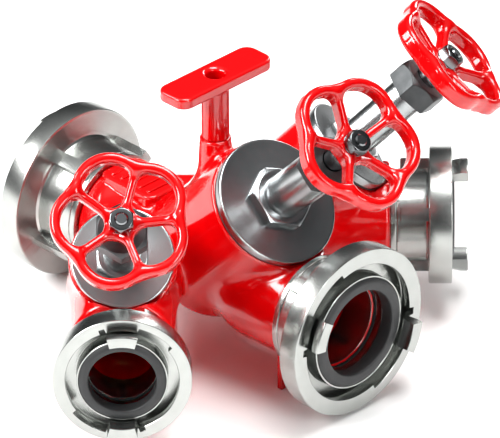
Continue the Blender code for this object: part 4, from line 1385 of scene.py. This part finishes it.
    def hollow(self, points: np.ndarray, body: np.ndarray) -> np.ndarray:
        """Cut the waterways, valve chambers, seats and the handle's tapped hole.

        Args:
            points: sample points.
            body: distance to the solid casting.

        Returns:
            Signed distance to the hollow one.
        """
        over = 20.0 * MM            # how far a cut runs past the face it opens
        inlet = self.pipe(points, "inlet", -INLET_BORE, 80.0 * MM, INLET_BORE)
        body = carve(body, inlet, self.edge)
        for branch in BRANCHES[1:]:
            valve, name = branch.valve, branch.name
            up = to_local(points, self.layout.spindle(name))[:, 2]
            bore = self.pipe(points, name, 0.0, valve.reach + 60.0 * MM, valve.bore_in)
            body = carve(body, np.maximum(bore, up + 1.0 * MM), self.edge)
            bore = self.pipe(points, name, valve.reach - 60.0 * MM, branch.face + over,
                             valve.outlet_bore)
            body = carve(body, np.maximum(bore, 12.0 * MM - up), 2.0 * MM)
            chamber = self.post(points, name, valve.seat_ledge, valve.face + over, valve.chamber)
            body = carve(body, chamber, self.edge)
            seat = self.post(points, name, -5.0 * MM, 6.0 * MM, valve.seat)
            body = carve(body, seat, 0.4 * MM)
            spot = self.post(points, name, valve.neck_top(), valve.face + 2.0 * over,
                             valve.flange + 1.2 * MM)
            body = carve(body, spot, 0.3 * MM)
        top = self.at("centre", self.handle_reach, self.handle_foot)
        tap = rod(points, top - UP * 18.0 * MM, top + UP * 2.0 * MM, self.handle_tap)
        return carve(body, tap, 0.4 * MM)

    def build(self) -> list[bpy.types.Object]:
        """Build the body and the anti-slip ribs on its pad."""
        low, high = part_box("body_casting")
        margin = Vector((3.0, 3.0, 3.0)) * MM
        verts, faces = skin(self.solid, low - margin, high + margin, self.step)
        verts[:, 2] = np.maximum(verts[:, 2], low.z)
        body = add_piece("cast_body", verts, faces, Matrix.Identity(4), 50.0)
        return [body, self.pad_ribs()]

    def pad_ribs(self, count: int = 5) -> bpy.types.Object:
        """Build the rounded cross ribs on the pad.

        Args:
            count: how many there are.

        Returns:
            All of them as one object.
        """
        inlet = BRANCHES[0]
        back = inlet.face - inlet.coupling.length() - 3.0 * GAP
        length = self.pad_front + back
        hub = self.layout.hub()

        def ribs(points: np.ndarray) -> np.ndarray:
            """Signed distance to the nearest rib."""
            found = np.full(len(points), 1.0)
            for index in range(count):
                y = back - length * (index + 1) / (count + 1)
                place = Matrix.Translation(hub + Vector((0.0, y, self.pad_top)))
                found = np.minimum(found, slab(points, place, self.rib, self.rib[1], 0.9 * MM))
            return found

        low = hub + Vector((-15.0 * MM, back - length, self.pad_top - 2.0 * MM))
        high = hub + Vector((15.0 * MM, back, self.pad_top + 2.5 * MM))
        verts, faces = skin(ribs, low, high, 0.6 * MM)
        return add_piece("pad_ribs", verts, faces, Matrix.Identity(4), 50.0)


@dataclass(frozen=True)
class Handle:
    """Cast T-handle: a flat grip that flows into its hollow column, and the screw inside."""
    layout: Layout
    reach: float = 92.0 * MM
    foot: float = 101.6 * MM
    top: float = 152.5 * MM
    column: float = 10.0 * MM
    grip: tuple[float, float, float] = (45.75 * MM, 14.5 * MM, 4.25 * MM)
    corner: float = 9.0 * MM
    edge: float = 1.9 * MM
    bore: float = 6.8 * MM
    floor: float = 6.0 * MM
    tap: float = 4.3 * MM            # radius of the screw's hole
    flare_depth: float = 2.4 * MM    # the bore opens out over this much below the grip's top
    flare_slope: float = 2.6 * MM
    step: float = 0.9 * MM

    def origin(self) -> Vector:
        """The point below the handle on the waterway's axis."""
        return self.layout.line("centre", self.reach).translation

    def solid(self, points: np.ndarray) -> np.ndarray:
        """Signed distance to the handle."""
        base = self.origin()
        grip = slab(points, Matrix.Translation(base + UP * (self.top - self.grip[2])), self.grip,
                    self.corner, self.edge)
        column = rod(points, base + UP * (self.foot + GAP), base + UP * (self.top - self.grip[2]),
                     self.column, 0.9 * MM)
        body = blend(grip, column, 5.0 * MM)
        local = points - np.array(base)
        reach = np.hypot(local[:, 0], local[:, 1])
        flare = np.maximum(local[:, 2] - self.top + self.flare_depth, 0.0)
        bore = np.maximum(reach - self.bore - flare ** 2 / self.flare_slope,
                          self.foot + self.floor - local[:, 2])
        body = carve(body, bore, 0.6 * MM)
        return carve(body, reach - self.tap, 0.3 * MM)

    def build(self) -> bpy.types.Object:
        """Build the handle."""
        low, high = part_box("carrying_handle")
        margin = Vector((2.0, 2.0, 2.0)) * MM
        verts, faces = skin(self.solid, low - margin, high + margin, self.step)
        return add_piece("handle_shape", verts, faces, Matrix.Identity(4), 50.0)

    def screw(self) -> bpy.types.Object:
        """Build the socket screw at the bottom of the column."""
        shank, head, socket = 4.0 * MM, 6.2 * MM, 3.0 * MM
        low = self.foot + GAP + self.floor + GAP
        top = low + 8.0 * MM
        tip = self.foot - 16.0 * MM
        corners = [(socket, top - 4.5 * MM, 0.2 * MM), (0.3 * MM, tip, 0.1 * MM),
                   (shank - 0.6 * MM, tip, 0.5 * MM), (shank, tip + 0.8 * MM, 0.2 * MM),
                   (shank, low, 0.2 * MM), (head, low, 0.3 * MM), (head, top, 0.8 * MM),
                   (socket, top, 0.3 * MM)]
        return turned("handle_screw_shape", corners, Matrix.Translation(self.origin()), 48)


# ---- assembly ----------------------------------------------------------------------------------
@dataclass
class Breeching:
    """The whole object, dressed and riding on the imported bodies."""
    layout: Layout
    wardrobe: Wardrobe
    record: dict

    def __post_init__(self) -> None:
        """Note each node's body and slot."""
        bodies = self.record["behaviour"]["bodies"]
        self.body = {node: body for body, nodes in bodies.items() for node in nodes}
        self.slots = {part["node"]: part["material_slot"] for part in self.record["subparts"]}

    def place(self, piece: bpy.types.Object, node: str, finish: str) -> None:
        """Dress a piece, let it ride, and let it stand for its CAD node.

        Args:
            piece: the finer mesh.
            node: the CAD node that it replaces.
            finish: the name of its finish.
        """
        self.wardrobe.dress(piece, finish)
        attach(piece, self.body[node])
        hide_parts(node)
        LOG.info("%s stands for %s in %s", piece.name, node, finish)

    def castings(self) -> None:
        """Body with its bare machined bores, pad ribs, handle and its screw."""
        for piece in Casting(self.layout).build():
            self.place(piece, "body_casting", RED)
        for branch in BRANCHES:
            bore = INLET_BORE if branch.valve is None else branch.valve.outlet_bore
            inner, outer = bore - 0.4 * MM, bore - 0.05 * MM
            end = -branch.coupling.shoulder - 2.9 * MM
            start = end - BARE_BORE
            sleeve = [(inner, start, 0.1 * MM), (outer, start, 0.0), (outer, end, 0.0),
                      (inner, end, 0.1 * MM)]
            place = self.layout.line(branch.name, branch.face)
            piece = turned(branch.name + "_machined_bore", sleeve, place)
            self.place(piece, "body_casting", "turned_aluminium")
        handle = Handle(self.layout)
        self.place(handle.build(), "carrying_handle", RED)
        self.place(handle.screw(), "handle_screw", "phosphated_steel")

    def couplings(self) -> None:
        """The claw couplings and their face seals."""
        for branch in BRANCHES:
            place = self.layout.line(branch.name, branch.face)
            place = place @ Matrix.Rotation(math.radians(branch.twist), 4, "Z")
            ring = branch.coupling.build(branch.name + "_coupling_shape", place, branch.rib_turn)
            self.place(ring, branch.name + "_coupling", "turned_aluminium")
            seal = branch.coupling.face_seal(branch.name + "_face_seal_shape", place)
            self.place(seal, branch.name + "_face_seal", "seal_rubber")

    def valves(self) -> None:
        """Every piece of the three valves."""
        verts, faces = WHEEL.mesh()
        for branch in BRANCHES[1:]:
            place = self.layout.spindle(branch.name)
            for part, (piece, finish) in branch.valve.build(branch.name, place).items():
                node = branch.name + "_" + part.removesuffix("_flats")
                self.place(piece, node, finish)
            turn = Matrix.Rotation(math.radians(branch.wheel_phase), 4, "Z")
            centre = place @ Matrix.Translation((0.0, 0.0, branch.valve.rim())) @ turn
            wheel = add_piece(branch.name + "_handwheel_shape", verts, faces, centre, 60.0)
            self.place(wheel, branch.name + "_handwheel", RED)

    def hidden_nodes(self, nodes: dict[str, bpy.types.Object]) -> None:
        """Dress the CAD nodes that stay as they are: gaskets and packings inside the object."""
        for name, node in nodes.items():
            if name.endswith(("thread_gasket", "packing_ring")):
                self.wardrobe.dress(node, "gasket_rubber")


# name, place in metres, width and height in metres, watts
SOFTBOXES = (
    ("key_softbox", (-1.6, 0.5, 1.4), (0.8, 0.8), 48.0),
    ("front_strip", (-0.3, -1.9, 1.0), (0.3, 1.2), 18.0),
    ("back_softbox", (-1.1, 1.3, 1.35), (0.8, 0.6), 24.0),
    ("top_softbox", (0.2, -0.2, 2.0), (1.1, 0.9), 42.0),
    ("rear_strip", (1.7, 0.6, 1.0), (0.3, 1.3), 14.0),
)


@dataclass(frozen=True)
class Studio:
    """Pale floor, soft studio light and the camera."""
    layout: Layout
    wardrobe: Wardrobe
    azimuth: float = -135.0
    elevation: float = 30.0
    lens: float = 1200.0
    distance: float = 11.863
    right: float = 89.4 * MM
    up: float = -3.24 * MM
    floor_half: float = 6.0
    sky: float = 0.9

    def floor(self) -> None:
        """Lay the floor."""
        half = self.floor_half
        points = [(-half, -half, 0.0), (half, -half, 0.0), (half, half, 0.0), (-half, half, 0.0)]
        floor = add_piece("floor", np.array(points), [(0, 1, 2, 3)], Matrix.Identity(4))
        self.wardrobe.dress(floor, "pale_floor")

    def light(self, name: str, spot: Sequence[float], size: tuple[float, float],
              power: float) -> None:
        """Hang one softbox that faces the object.

        Args:
            name: its name.
            spot: its place in metres.
            size: width and height.
            power: in watts.
        """
        data = bpy.data.lights.new(name, "AREA")
        data.shape = "RECTANGLE"
        data.size, data.size_y = size
        data.energy = power
        lamp = bpy.data.objects.new(name, data)
        bpy.context.scene.collection.objects.link(lamp)
        lamp.location = spot
        aim = self.layout.hub() - Vector(spot)
        lamp.rotation_euler = aim.to_track_quat("-Z", "Y").to_euler()

    def lights(self) -> None:
        """Softboxes all round and a sky that is bright above and dark at the sides."""
        for softbox in SOFTBOXES:
            self.light(*softbox)
        world = bpy.data.worlds.new("studio_sky")
        bpy.context.scene.world = world
        world.use_nodes = True
        tree = world.node_tree
        direction = add_node(tree, "ShaderNodeTexCoord").outputs["Generated"]
        height = add_node(tree, "ShaderNodeSeparateXYZ", {"Vector": direction}).outputs["Z"]
        ramp = add_node(tree, "ShaderNodeValToRGB", {"Fac": height})
        stops = ramp.color_ramp.elements
        stops[0].position, stops[0].color = 0.45, linear("#3C3E40")
        stops[1].position, stops[1].color = 1.0, linear("#FFFFFF")
        stops.new(0.8).color = linear("#8F9192")
        tree.links.new(ramp.outputs["Color"], tree.nodes["Background"].inputs["Color"])
        tree.nodes["Background"].inputs["Strength"].default_value = self.sky

    def camera(self) -> None:
        """Set the camera: far away with a long lens, so that parallel edges stay parallel."""
        turn, lift = math.radians(self.azimuth), math.radians(self.elevation)
        away = Vector((math.cos(turn) * math.cos(lift), math.sin(turn) * math.cos(lift),
                       math.sin(lift)))
        rotation = away.to_track_quat("Z", "Y")
        target = self.layout.hub() + rotation @ Vector((self.right, self.up, 0.0))
        data = bpy.data.cameras.new("camera")
        data.lens = self.lens
        data.clip_end = 100.0
        camera = bpy.data.objects.new("camera", data)
        bpy.context.scene.collection.objects.link(camera)
        camera.location = target + away * self.distance
        camera.rotation_euler = rotation.to_euler()
        bpy.context.scene.camera = camera
        bpy.context.scene.view_settings.view_transform = "Standard"


def main() -> None:
    """Load the frame, build and dress every piece, and set the studio."""
    logging.basicConfig(level=logging.INFO, format="%(message)s")
    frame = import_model()
    layout = Layout(joints=tuple(frame["joints"]))
    wardrobe = Wardrobe()
    breeching = Breeching(layout, wardrobe, frame["record"])
    breeching.castings()
    breeching.couplings()
    breeching.valves()
    breeching.hidden_nodes(frame["nodes"])
    studio = Studio(layout, wardrobe)
    studio.floor()
    studio.lights()
    studio.camera()


if __name__ == "__main__":
    main()
